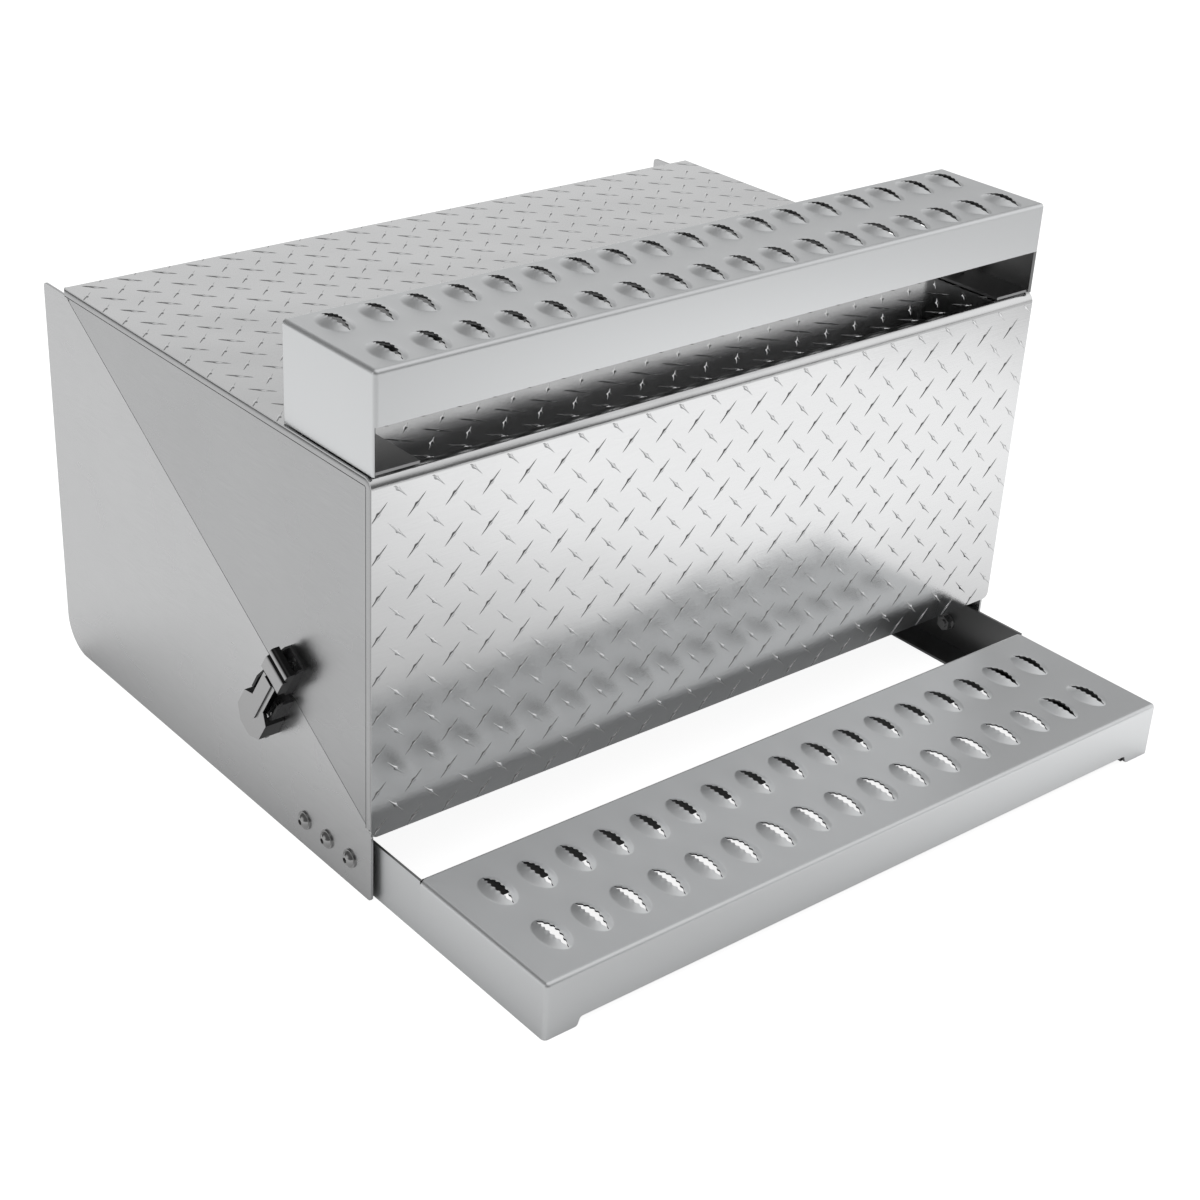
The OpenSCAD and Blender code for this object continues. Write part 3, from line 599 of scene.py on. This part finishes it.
@dataclass
class TreadLid:
    """The lid's folded tread plate with its raised lugs.

    The bead's pairs say how far in from the outer face a line of the side edge lies, and
    how deep. A lug is a ridge with a knot in its middle, each with a share of its size.
    """

    panel_x: float = 0.457
    sheet: float = 0.003
    bend_r: float = 0.012
    edge_h: float = 0.010
    bead: tuple[Flat, ...] = ((0.0024, 0.001), (0.0034, 0.0005), (0.005, 0.0001),
                              (0.007, 0.0), (0.0091, 0.0))
    gap_w: float = 0.0008
    gap_depth: float = 0.0003
    corner_r: float = 0.008
    corner_steps: int = 6
    corner_clear: float = 1.2
    hem_w: float = 0.006
    hem_inset: float = 0.013
    lug_pitch: float = 0.044
    lug_l: float = 0.031
    lug_w: float = 0.0056
    lug_h: float = 0.0012
    lug_shift: float = 0.0095
    lug_start_z: float = 0.008
    lug_start_y: float = 0.0165
    lug_columns: int = 12
    lug_steps: int = 14
    lug_sides: int = 6
    lug_skirt: float = 0.0002
    lug_round: float = 1.7
    knot_l: float = 0.19
    ridge_width: float = 0.36
    knot_width: float = 0.64
    ridge_height: float = 0.7
    knot_height: float = 0.3
    arc_steps: int = 10

    def __post_init__(self) -> None:
        """Take the plate's outer limits from its CAD node."""
        low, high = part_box("lid_skin")
        self.front = low.y + self.lug_h
        self.rear = high.y
        self.bottom = low.z
        self.top = high.z - self.lug_h
        self.skin_x = self.panel_x + self.sheet

    def foot_z(self, x: float) -> float:
        """The height of the front's lower edge, which rises in the rounded corners."""
        into = abs(x) - (self.skin_x - self.corner_r)
        if into <= 0.0:
            return self.bottom
        return self.bottom + self.corner_r - math.sqrt(
            max(0.0, self.corner_r ** 2 - into ** 2))

    def side_path(self, inset: float, x: float) -> list[Point]:
        """One line up the front, round the bend and back along the top.

        Args:
            inset: How far the line lies inside the outer face.
            x: The line's place across the lid.

        Returns:
            The line's points.
        """
        y0 = self.front + inset
        z1 = self.top - inset
        r = self.bend_r - inset
        cy = self.front + self.bend_r
        cz = self.top - self.bend_r
        path = [(x, y0, self.foot_z(x)),
                (x, y0, self.bottom + self.corner_clear * self.corner_r)]
        for k in range(self.arc_steps + 1):
            a = math.pi / 2 * k / self.arc_steps
            path.append((x, cy - r * math.cos(a), cz + r * math.sin(a)))
        path.append((x, self.rear, z1))
        return path

    def build_plate(self) -> None:
        """Build the folded sheet with its returned side edges, and black strips of painted
        shade in their gaps.
        """
        work = Metalwork()
        corner = [self.skin_x
                  - self.corner_r * (1 - math.sin(math.pi / 2 * k / self.corner_steps))
                  for k in range(self.corner_steps + 1)]
        right = sorted({round(v, 6) for v in (*corner, self.panel_x)})
        xs = [-v for v in reversed(right)] + right
        outer = [self.side_path(0.0, x) for x in xs]
        work.strip(outer)
        thin = [self.side_path(self.sheet, x) for x in xs if abs(x) <= self.panel_x + SNAP]
        work.strip(thin)
        edges = Metalwork()
        # Black strips sunk into each side edge's gap lines: painted shade, in the seal rubber
        # finish.
        gap_shade_strips = Metalwork()
        rim = self.bead[0][0] - self.gap_w
        for side in (-1, 1):
            band = [x for x in xs if side * x >= self.panel_x - SNAP]
            thick = [self.side_path(self.edge_h, x) for x in band]
            work.strip(thick)
            end = band[0] if side < 0 else band[-1]
            edges.strip([self.side_path(0.0, end), self.side_path(rim, end)])
            edges.strip([self.side_path(inset, end - side * sunk)
                         for inset, sunk in self.bead])
            deep = end - side * self.gap_depth
            for start, stop in ((rim, self.bead[0][0]), (self.bead[-1][0], self.edge_h)):
                gap_shade_strips.strip([self.side_path(start, deep), self.side_path(stop, deep)])
            inner = band[-1] if side < 0 else band[0]
            work.strip([self.side_path(self.sheet, inner),
                        self.side_path(self.edge_h, inner)])
            for at in (0, -1):
                work.strip([[p[at] for p in (self.side_path(0.0, x) for x in band)],
                            [p[at] for p in thick]])
        for at in (0, -1):
            work.strip([[p[at] for p in outer if abs(p[at][0]) <= self.panel_x + SNAP],
                        [p[at] for p in thin]])
        edges.piece("lid_plate_edges", Finish.CHEEK, "lid", sharp=40.0)
        gap_shade_strips.piece("lid_edge_gap_painted_shade", Finish.SEAL, "lid")
        plate = work.piece("lid_plate", Finish.TREAD, "lid", sharp=40.0)
        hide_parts("lid_skin")

    def build_hem(self) -> None:
        """Build the fold along the front's lower edge."""
        work = Metalwork()
        y = self.front + self.sheet
        work.prism([(y, self.bottom), (y + self.hem_w, self.bottom),
                    (y + self.hem_w, self.bottom + self.sheet),
                    (y, self.bottom + self.sheet)],
                   Plane.YZ, -self.panel_x + self.hem_inset, self.panel_x - self.hem_inset)
        work.piece("lid_hem", Finish.TREAD, "lid", ease=0.0006)

    def lug_places(self, start: float, length: float,
                   first: int) -> list[tuple[float, float, int]]:
        """The middles and slants of the lugs on one face.

        Args:
            start: The first row's distance from the face's lower or front edge.
            length: The face's length.
            first: 0 where the first row slants to the right, 1 where to the left.

        Returns:
            Tuples of the place across, the place along, and the slant's sign.
        """
        half = self.lug_pitch / 2
        reach = self.lug_l * math.sin(math.pi / 4) / 2
        places = []
        row = 0
        while start + row * half < length + reach:
            odd = (row + first) % 2
            x = self.lug_shift + odd * half - self.lug_columns * self.lug_pitch
            while x < self.skin_x + reach:
                if x > -self.skin_x - reach:
                    places.append((x, start + row * half, 1 if odd else -1))
                x += self.lug_pitch
            row += 1
        return places

    def lug_points(self, x: float, along: float, slant: int,
                   length: float) -> tuple[list[Flat], list[float]]:
        """The points of one lug, a slim rounded ridge with a fuller middle.

        Args:
            x: The lug's middle across the face.
            along: Its middle along the face.
            slant: 1 or -1, the way it slants.
            length: The face's length; the lug is cut at the face's edges.

        Returns:
            The points on the face, and their heights.
        """
        flat: list[Flat] = []
        heights: list[float] = []
        turn = slant * math.pi / 4
        for i in range(self.lug_steps + 1):
            u = -math.cos(math.pi * i / self.lug_steps)
            knot = math.exp(-(u / self.knot_l) ** 2)
            half = self.lug_w / 2 * (self.ridge_width * math.sqrt(1.0 - abs(u))
                                     + self.knot_width * knot)
            crest = self.lug_h * (self.ridge_height * (1.0 - u ** 4)
                                  + self.knot_height * knot)
            for j in range(self.lug_sides + 1):
                v = -1.0 + 2.0 * j / self.lug_sides
                px = u * self.lug_l / 2
                py = v * half
                fx = x + px * math.cos(turn) - py * math.sin(turn)
                fy = along + px * math.sin(turn) + py * math.cos(turn)
                flat.append((min(max(fx, -self.skin_x), self.skin_x),
                             min(max(fy, 0.0), length)))
                inside = abs(v) < 1.0 and abs(fx) < self.skin_x and 0.0 < fy < length
                heights.append(crest * (1.0 - abs(v) ** self.lug_round) if inside
                               else -self.lug_skirt)
        return flat, heights

    def build_lugs(self, name: str, start: float, first: int, length: float,
                   lay: Callable[[float, float, float], Point]) -> None:
        """Build the lugs of one face.

        Args:
            name: The piece's name.
            start: The first row's distance from the face's edge.
            first: Which way the first row slants.
            length: The face's length.
            lay: Puts a point of the face, with its height, into space.
        """
        work = Metalwork()
        n = self.lug_sides + 1
        grid = [(r * n + c, r * n + c + 1, (r + 1) * n + c + 1, (r + 1) * n + c)
                for r in range(self.lug_steps) for c in range(self.lug_sides)]
        for x, along, slant in self.lug_places(start, length, first):
            flat, heights = self.lug_points(x, along, slant, length)
            work.add([lay(a, b, h) for (a, b), h in zip(flat, heights)], grid)
        work.piece(name, Finish.LUG, "lid", sharp=60.0)

    def build(self) -> None:
        """Build the whole tread plate."""
        self.build_plate()
        self.build_hem()
        self.build_lugs("front_lugs", self.lug_start_z, 1,
                        self.top - self.bottom - self.bend_r,
                        lambda a, b, h: (a, self.front - h, self.bottom + b))
        self.build_lugs("top_lugs", self.lug_start_y - self.bend_r, 0,
                        self.rear - self.front - self.bend_r,
                        lambda a, b, h: (a, self.front + self.bend_r + b, self.top + h))


# ---- The steps


@dataclass
class TractionEye:
    """A raised oval pressed round a toothed slit; the slit runs from front to back.

    The oval falls from the lip in a straight slope to a rounded foot. A tooth rises by
    its slope to a flat top, and the teeth fade towards the slit's tips.
    """

    length: float = 0.054
    width: float = 0.036
    height: float = 0.006
    slit_l: float = 0.052
    slit_w: float = 0.011
    tooth: float = 0.0016
    lip_t: float = 0.0018
    teeth: int = 7
    fine: int = 8
    slope: float = 1.143
    foot: float = 0.75
    tooth_rise: float = 1.6
    tooth_slope: float = 5.0
    tooth_fade: float = 1.5

    @property
    def steps(self) -> int:
        """The number of steps from the slit's one end to its other."""
        return self.teeth * self.fine

    def rim(self, i: int, length: float, width: float, t: float) -> Flat:
        """A point on one of the eye's nested ovals.

        Args:
            i: The point's number, counted round the oval.
            length: The oval's length, tip to tip.
            width: Its width.
            t: 0 for the slit's sharp-tipped shape, 1 for the outer ellipse.

        Returns:
            The point, measured from the eye's middle.
        """
        n = self.steps
        k = i if i <= n else 2 * n - i
        side = -1 if i <= n else 1
        even = -1.0 + 2.0 * k / n
        y = even + t * (-math.cos(math.pi * k / n) - even)
        return (side * max(0.0, 1.0 - y * y) ** (1.0 - 0.5 * t) * width / 2, y * length / 2)

    def bite(self, i: int) -> float:
        """How far the lip's tooth reaches into the slit at a point, from 0 to 1."""
        n = self.steps
        k = i if i <= n else 2 * n - i
        phase = (k % self.fine) / self.fine
        y = -1.0 + 2.0 * k / n
        wave = min(1.0, max(0.0, self.tooth_rise - self.tooth_slope * abs(phase - 0.5)))
        return wave * min(1.0, self.tooth_fade * (1.0 - y * y))

    def ring(self, t: float, drop: float = 0.0) -> list[Point]:
        """One ring of the pressed oval, from the lip (0) to the flat sheet (1).

        Args:
            t: How far the ring is from the lip towards the rim.
            drop: How far the ring lies under the sheet's top face.

        Returns:
            The ring's points.
        """
        n = self.steps
        length = self.slit_l + (self.length - self.slit_l) * t
        width = self.slit_w + (self.width - self.slit_w) * t
        swell = (1.0 - self.slope * t if t < self.foot
                 else 2.0 * self.slope * (1.0 - t) ** 2)
        points = []
        for i in range(2 * n):
            x, y = self.rim(i, length, width, t)
            along = 2 * self.rim(i, self.slit_l, 1.0, 0.0)[1] / self.length
            crown = self.height * (1.0 - along ** 2)
            if t == 0.0 and x != 0.0:
                x -= math.copysign(self.tooth * self.bite(i), x)
            points.append((x, y, crown * swell - drop))
        return points

    def cell_edge(self, across: Flat, along: Flat, drop: float) -> list[Point]:
        """The edge of the rectangle of flat sheet round the eye.

        Args:
            across: Its left and right limits, measured from the eye's middle.
            along: Its front and back limits.
            drop: How far the edge lies under the sheet's top face.

        Returns:
            One point for each point of a ring, the corners among them.
        """
        hits: list[Flat] = []
        for i in range(2 * self.steps):
            x, y = self.rim(i, self.length, self.width, 1.0)
            reach = min(across[x > 0] / x if x else math.inf,
                        along[y > 0] / y if y else math.inf)
            hits.append((x * reach, y * reach))
        for corner in ((a, b) for b in along for a in across):
            nearest = min(range(len(hits)), key=lambda i: math.dist(hits[i], corner))
            hits[nearest] = corner
        return [(x, y, -drop) for x, y in hits]


@dataclass
class TractionStep:
    """A step of folded sheet whose tread carries two rows of traction eyes."""

    node: str
    body: str
    half_w: float
    depth: float
    height: float
    first_row: float
    count: int
    row_gap: float = 0.086
    pitch: float = 0.0494
    sheet: float = 0.003
    bend_r: float = 0.005
    fold_steps: int = 8
    eye: TractionEye = field(default_factory=TractionEye)

    def __post_init__(self) -> None:
        """Take the step's place from its CAD node."""
        low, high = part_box(self.node)
        self.front = low.y
        self.base = low.z
        self.top = low.z + self.height

    def tread(self, work: Metalwork, inside: Metalwork) -> None:
        """Add the flat tread sheet with its eyes.

        Args:
            work: The mesh of the outer faces.
            inside: The mesh of the inner faces and the cut lips, dressed darker as painted
                shade.
        """
        middle = self.first_row + self.row_gap / 2
        inset = self.bend_r
        top_rings = (0.0, 0.15, 0.3, 0.45, 0.6, 0.75, 0.82, 0.88, 0.94, 1.0)
        low_rings = (0.0, 0.4, 0.75, 1.0)
        for row in (0, 1):
            y = self.first_row + row * self.row_gap
            along = ((inset if row == 0 else middle) - y,
                     (middle if row == 0 else self.depth - inset) - y)
            for i in range(self.count):
                x = (i - (self.count - 1) / 2) * self.pitch
                across = (
                    -self.pitch / 2 if i else -self.half_w + inset - x,
                    self.pitch / 2 if i < self.count - 1 else self.half_w - inset - x)
                rings = [self.eye.ring(t, self.sheet + (self.eye.lip_t - self.sheet) * (1 - t))
                         for t in low_rings[::-1]]
                rings.insert(0, self.eye.cell_edge(across, along, self.sheet))
                rings.append(self.eye.ring(0.0))
                upper = [self.eye.ring(t) for t in top_rings]
                upper.append(self.eye.cell_edge(across, along, 0.0))
                for mesh, side in ((inside, rings), (work, upper)):
                    mesh.strip([[(px + x, py + y + self.front, pz + self.top)
                                 for px, py, pz in (*ring, ring[0])] for ring in side])

    def shell(self, work: Metalwork, inside: Metalwork,
              columns: Sequence[Line],
              closed: bool = False) -> None:
        """Add the folded edge and the wall below it along a path round the tread.

        Args:
            work: The mesh of the outer faces.
            inside: The mesh of the inner faces.
            columns: For each upright line of the wall the point that the fold turns about,
                the way it faces in degrees, and the wall's depth below the tread's top.
            closed: Whether the last line joins the first.
        """
        r = self.bend_r
        t = self.sheet
        arc = [math.pi / 2 * k / self.fold_steps for k in range(self.fold_steps + 1)]
        for mesh, out in ((work, True), (inside, False)):
            rows = []
            for x, y, facing, depth in columns:
                if out:
                    section = [(r, -depth)]
                    section += [(r * math.cos(a), -r + r * math.sin(a)) for a in arc]
                else:
                    section = [((r - t) * math.cos(a), -r + (r - t) * math.sin(a))
                               for a in reversed(arc)]
                    section += [(r - t, -depth), (r, -depth)]
                ux, uy = math.cos(math.radians(facing)), math.sin(math.radians(facing))
                rows.append([(x + ux * d, y + uy * d, self.top + z) for d, z in section])
            mesh.strip(rows, closed)

    def corner(self, side: int, back: bool, start: float,
               depths: tuple[float, float]) -> list[Line]:
        """The wall's lines round one corner, which is a quarter of a cylinder.

        Args:
            side: -1 for a left corner, 1 for a right one.
            back: Whether it is a rear corner.
            start: The way that the first line faces, in degrees.
            depths: The wall's depths before and after the corner's middle.

        Returns:
            The lines, for shell().
        """
        x = side * (self.half_w - self.bend_r)
        y = self.front + (self.depth - self.bend_r if back else self.bend_r)
        turns = (0.0, 15.0, 30.0, 45.0)
        first = [(x, y, start + turn, depths[0]) for turn in turns]
        return first + [(x, y, start + turns[-1] + turn, depths[1]) for turn in turns]

    def walls(self, work: Metalwork, inside: Metalwork) -> None:
        """Add the walls and feet below the tread."""
        raise NotImplementedError

    def build(self) -> None:
        """Build the whole step, its outer faces and its inner faces with their painted shade,
        in place of its CAD node.
        """
        work = Metalwork()
        inside = Metalwork()
        self.tread(work, inside)
        self.walls(work, inside)
        # The inner faces and cut lips get the darker finish: painted shade.
        inside.piece(self.node + "_inside", Finish.INSIDE, self.body, sharp=50.0)
        tread = work.piece(self.node + "_sheet", Finish.STEP, self.body, sharp=50.0)
        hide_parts(self.node)


@dataclass
class UpperStep(TractionStep):
    """The step on the lid: an apron, a flanged rear wall and two footed ends."""

    node: str = "upper_step"
    body: str = "lid"
    half_w: float = 0.457
    depth: float = 0.158
    height: float = 0.106
    first_row: float = 0.034
    count: int = 18
    apron_h: float = 0.056
    back_h: float = 0.0555
    back_flange: float = 0.017
    foot_w: float = 0.055

    def walls(self, work: Metalwork, inside: Metalwork) -> None:
        """Add the apron, the two ends, the rear wall with its flange, and the feet."""
        end, apron, back = self.height, self.apron_h, self.back_h
        self.shell(work, inside,
                   [*self.corner(-1, False, 180.0, (end, apron)),
                    *self.corner(1, False, 270.0, (apron, end)),
                    *self.corner(1, True, 0.0, (end, back)),
                    *self.corner(-1, True, 90.0, (back, end))], closed=True)
        wall = self.front + self.depth - self.sheet
        low = self.top - back
        inside.prism([(wall - self.back_flange, low), (wall, low), (wall, low + self.sheet),
                      (wall - self.back_flange, low + self.sheet)], Plane.YZ,
                     self.bend_r - self.half_w, self.half_w - self.bend_r)
        for s in (-1, 1):
            outer, inner = s * (self.half_w - self.sheet), s * (self.half_w - self.foot_w)
            y0, y1 = self.front + self.bend_r, self.front + self.depth - self.bend_r
            inside.prism([(outer, y0), (outer, y1), (inner, y1), (inner, y0)], Plane.XY,
                         self.base, self.base + self.sheet)


@dataclass
class LowerStep(TractionStep):
    """The step in front of the box: a toe-cut apron and two arms that run back."""

    node: str = "lower_step"
    body: str = "box"
    half_w: float = 0.4485
    depth: float = 0.207
    height: float = 0.066
    first_row: float = 0.059
    count: int = 17
    back_h: float = 0.0625
    flange_w: float = 0.042
    toe_w: float = 0.042
    toe_h: float = 0.010
    toe_steps: int = 12
    reach: float = 0.443

    def apron_depth(self, x: float) -> float:
        """The apron's depth at a place across it, with an S-curve beside each foot."""
        r = self.toe_h / 2
        past = abs(x) - (self.half_w - self.toe_w)
        if past >= r:
            return self.height
        if past >= 0.0:
            return self.height - r + math.sqrt(max(0.0, r * r - (r - past) ** 2))
        return self.height - r - math.sqrt(max(0.0, r * r - max(0.0, r + past) ** 2))

    def walls(self, work: Metalwork, inside: Metalwork) -> None:
        """Add the apron, the arms, the rear wall and the flanges."""
        full, t, r = self.height, self.sheet, self.bend_r
        y0 = self.front + r
        y1 = self.front + self.depth - r
        y2 = self.front + self.reach
        toe = [self.half_w - self.toe_w
               + self.toe_h / 2 * math.cos(math.pi * k / self.toe_steps)
               for k in range(self.toe_steps + 1)]
        apron = [(x, y0, 270.0, self.apron_depth(x))
                 for x in sorted([-v for v in toe] + toe)]
        ends = self.half_w - r
        self.shell(work, inside,
                   [(-ends, y1, 180.0, full), *self.corner(-1, False, 180.0, (full, full)),
                    *apron, *self.corner(1, False, 270.0, (full, full)),
                    (ends, y1, 360.0, full)])
        self.shell(work, inside,
                   [(ends, y1, 90.0, self.back_h), (-ends, y1, 90.0, self.back_h)])
        for s in (-1, 1):
            outer, inner = s * self.half_w, s * (self.half_w - t)
            loop = [(outer, self.base), (outer, self.top), (inner, self.top),
                    (inner, self.base), (outer, self.base)]
            work.strip([[(x, y, z) for x, z in loop[:2]] for y in (y1, y2)])
            inside.strip([[(x, y, z) for x, z in loop[1:]] for y in (y1, y2)])
            inside.add([(x, y2, z) for x, z in loop[:4]], [(0, 1, 2, 3)])
            edge = s * (self.half_w - self.flange_w)
            inside.prism([(inner, y0), (inner, y2), (edge, y2), (edge, y0)], Plane.XY,
                         self.base, self.base + t)


# ---- The rest of the box


@dataclass
class BoxFinishes:
    """Finishes and eased edges for the nodes that keep their CAD shape."""

    frame: dict
    eased: tuple[tuple[str, Sequence[str], Finish, float], ...] = (
        ("side_panel", SIDES, Finish.PANEL, 0.0006),
        ("cheek", SIDES, Finish.CHEEK, 0.0005),
        ("tub", ("",), Finish.TUB, 0.0008),
        ("jamb", SIDES, Finish.TUB, 0.0005),
        ("latch_base", SIDES, Finish.BASE, 0.0005),
        ("latch_strap", SIDES, Finish.STRAP, 0.0007),
        ("latch_keeper", SIDES, Finish.BASE, 0.0005),
    )
    plain: tuple[tuple[Finish, Sequence[str]], ...] = (
        (Finish.SEAL, ("jamb_seals", "sill_seal")),
        (Finish.ZINC, ("hinge_leaf_body", "hinge_leaf_lid", "hinge_pin", "upper_bolts",
                       "upper_washers", "upper_nuts", "arm_bolts", "arm_washers",
                       "arm_spacers", "arm_nuts", "latch_pin_left", "latch_pin_right")),
        (Finish.RIVET, ("hinge_rivets", "base_rivets", "keeper_rivets")),
    )

    def build(self) -> None:
        """Dress every node that isn't rebuilt."""
        nodes = self.frame["nodes"]
        for stem, sides, finish, width in self.eased:
            for name in (stem + side for side in sides):
                eased_copy(nodes[name], name, finish, width)
        for finish, names in self.plain:
            for name in names:
                dress(nodes[name], finish)
                log.info("%s: %s", name, finish.value.name)


# ---- Studio


@dataclass
class Studio:
    """The floor, the world, the lamps and the photograph's camera.

    The glows are what metal mirrors of the surround: a sweep behind, a soft box overhead,
    one on the right and one on the left. Each has its direction, how far a view agrees
    with it where the glow starts and is full, and the tones there. A patch of the floor
    has its middle, the distances where it starts to fade and ends, and the tones there.
    """

    lens: float = 65.126
    sensor: float = 36.0
    shift: Flat = (0.06485, 0.00988)
    place: Point = (-1.4798, -1.6935, 1.3275)
    turn: Point = (61.5246, -1.9354, -37.7172)
    lamps: tuple[tuple[str, Point, float], ...] = (
        ("key_lamp", (-2.2, -1.6, 3.0), 14.0),
        ("back_lamp", (0.6, 1.4, 3.0), 10.0),
    )
    lamp_size: float = 2.0
    lamp_aim: Point = (0.0, 0.0, 0.25)
    surround: float = 0.62
    glows: tuple[tuple[Point, Flat, Flat], ...] = (
        ((0.5, 0.86, 0.0), (0.69, 1.0), (0.14, 0.82)),
        ((0.25, -0.2, 0.95), (0.5, 1.0), (0.0, 0.85)),
        ((0.9, -0.35, 0.35), (0.8, 0.96), (0.0, 1.0)),
        ((-0.95, 0.3, 0.15), (0.8, 1.0), (0.0, 0.75)),
    )
    floor_half: float = 14.0
    floor_patches: tuple[tuple[Point, Flat, Flat], ...] = (
        ((0.8, -1.0, 0.0), (0.3, 1.15), (0.9, 0.4)),
        ((-1.0, 1.3, 0.0), (1.2, 2.0), (0.64, 0.4)),
    )
    floor_tone: float = 0.4
    floor_lift: float = 0.9
    contact: float = 0.18

    def camera(self) -> None:
        """Set up the camera at the photograph's place."""
        data = bpy.data.cameras.new("photo_camera")
        data.lens = self.lens
        data.sensor_width = self.sensor
        data.shift_x, data.shift_y = self.shift
        camera = new_object("photo_camera", data)
        camera.location = self.place
        camera.rotation_euler = Euler([math.radians(a) for a in self.turn])
        bpy.context.scene.camera = camera

    def light(self) -> None:
        """Add the soft square lamps, which face the object and aren't mirrored in metal."""
        for name, place, power in self.lamps:
            data = bpy.data.lights.new(name, "AREA")
            data.size = self.lamp_size
            data.energy = power
            lamp = new_object(name, data)
            lamp.visible_glossy = False
            lamp.location = place
            aim = Vector(self.lamp_aim) - Vector(place)
            lamp.rotation_euler = aim.to_track_quat("-Z", "Y").to_euler()

    def world(self) -> None:
        """Set the surround: white for the camera, glows in metal, a plain grey for light."""
        world = bpy.data.worlds.new("surround")
        world.use_nodes = True
        tree = world.node_tree
        back = tree.nodes["Background"]
        back.inputs["Color"].default_value = (*[self.surround] * 3, 1.0)
        shiny = tree.nodes.new("ShaderNodeBackground")
        glows = []
        for side, edges, tones in self.glows:
            along = measure_node(tree, "DOT_PRODUCT", "Generated", Vector(side).normalized())
            glows.append(range_node(tree, along, edges, tones, "SMOOTHSTEP"))
        tree.links.new(brightest(tree, glows), shiny.inputs["Color"])
        white = tree.nodes.new("ShaderNodeBackground")
        white.inputs["Color"].default_value = WHITE
        path = tree.nodes.new("ShaderNodeLightPath")
        surface = back.outputs[0]
        for factor, other in ((self.seen_factor(tree), shiny),
                              (path.outputs["Is Camera Ray"], white)):
            mix = tree.nodes.new("ShaderNodeMixShader")
            for source, entry in zip((factor, surface, other.outputs[0]), mix.inputs):
                tree.links.new(source, entry)
            surface = mix.outputs[0]
        tree.links.new(surface, tree.nodes["World Output"].inputs["Surface"])
        bpy.context.scene.world = world

    def seen_factor(self, tree: Tree) -> Socket:
        """A value of 1 for rays from the camera, from gloss and through glass.

        Args:
            tree: The node tree to add to.

        Returns:
            The value's socket.
        """
        path = tree.nodes.new("ShaderNodeLightPath")
        return brightest(tree, [path.outputs[f"Is {kind} Ray"]
                                for kind in ("Camera", "Glossy", "Transmission")])

    def floor_factor(self, tree: Tree) -> Socket:
        """The floor's glow: even for the camera, in patches and dim near the object in metal.

        Args:
            tree: The floor material's node tree.

        Returns:
            The glow's value socket.
        """
        patches = []
        for middle, edges, tones in self.floor_patches:
            away = measure_node(tree, "DISTANCE", "Object", middle)
            patches.append(range_node(tree, away, edges, tones, "SMOOTHSTEP"))
        open_sky = tree.nodes.new("ShaderNodeAmbientOcclusion")
        open_sky.inputs["Distance"].default_value = self.contact
        dimmed = math_node(tree, "MULTIPLY", open_sky.outputs["AO"],
                           brightest(tree, patches))
        shown = math_node(tree, "MULTIPLY", self.seen_factor(tree), dimmed)
        path = tree.nodes.new("ShaderNodeLightPath")
        direct = math_node(tree, "MULTIPLY", path.outputs["Is Camera Ray"], self.floor_lift)
        return math_node(tree, "MAXIMUM", shown, direct)

    def floor(self) -> None:
        """Lay a floor that looks white and keeps the object's soft shadow."""
        mesh = bpy.data.meshes.new("studio_floor")
        size = self.floor_half
        mesh.from_pydata([(-size, -size, 0.0), (size, -size, 0.0), (size, size, 0.0),
                          (-size, size, 0.0)], [], [(0, 1, 2, 3)])
        floor = new_object("studio_floor", mesh)
        material = bpy.data.materials.new("studio_floor")
        material.use_nodes = True
        tree = material.node_tree
        shader = tree.nodes["Principled BSDF"]
        shader.inputs["Base Color"].default_value = (*[self.floor_tone] * 3, 1.0)
        shader.inputs["Roughness"].default_value = 0.9
        shader.inputs["Specular IOR Level"].default_value = 0.0
        glow = tree.nodes.new("ShaderNodeEmission")
        glow.inputs["Color"].default_value = WHITE
        tree.links.new(self.floor_factor(tree), glow.inputs["Strength"])
        add = tree.nodes.new("ShaderNodeAddShader")
        tree.links.new(shader.outputs[0], add.inputs[0])
        tree.links.new(glow.outputs[0], add.inputs[1])
        tree.links.new(add.outputs[0], tree.nodes["Material Output"].inputs["Surface"])
        mesh.materials.append(material)

    def build(self) -> None:
        """Set up the whole studio."""
        self.camera()
        self.world()
        self.floor()
        self.light()
        bpy.context.scene.view_settings.view_transform = "Standard"
        log.info("studio ready")


def main() -> None:
    """Build the part's look, piece by piece, around the loaded frame."""
    logging.basicConfig(level=logging.INFO, format="%(name)s: %(message)s")
    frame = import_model()
    Studio().build()
    TreadLid().build()
    UpperStep().build()
    LowerStep().build()
    BoxFinishes(frame).build()


if __name__ == "__main__":
    main()
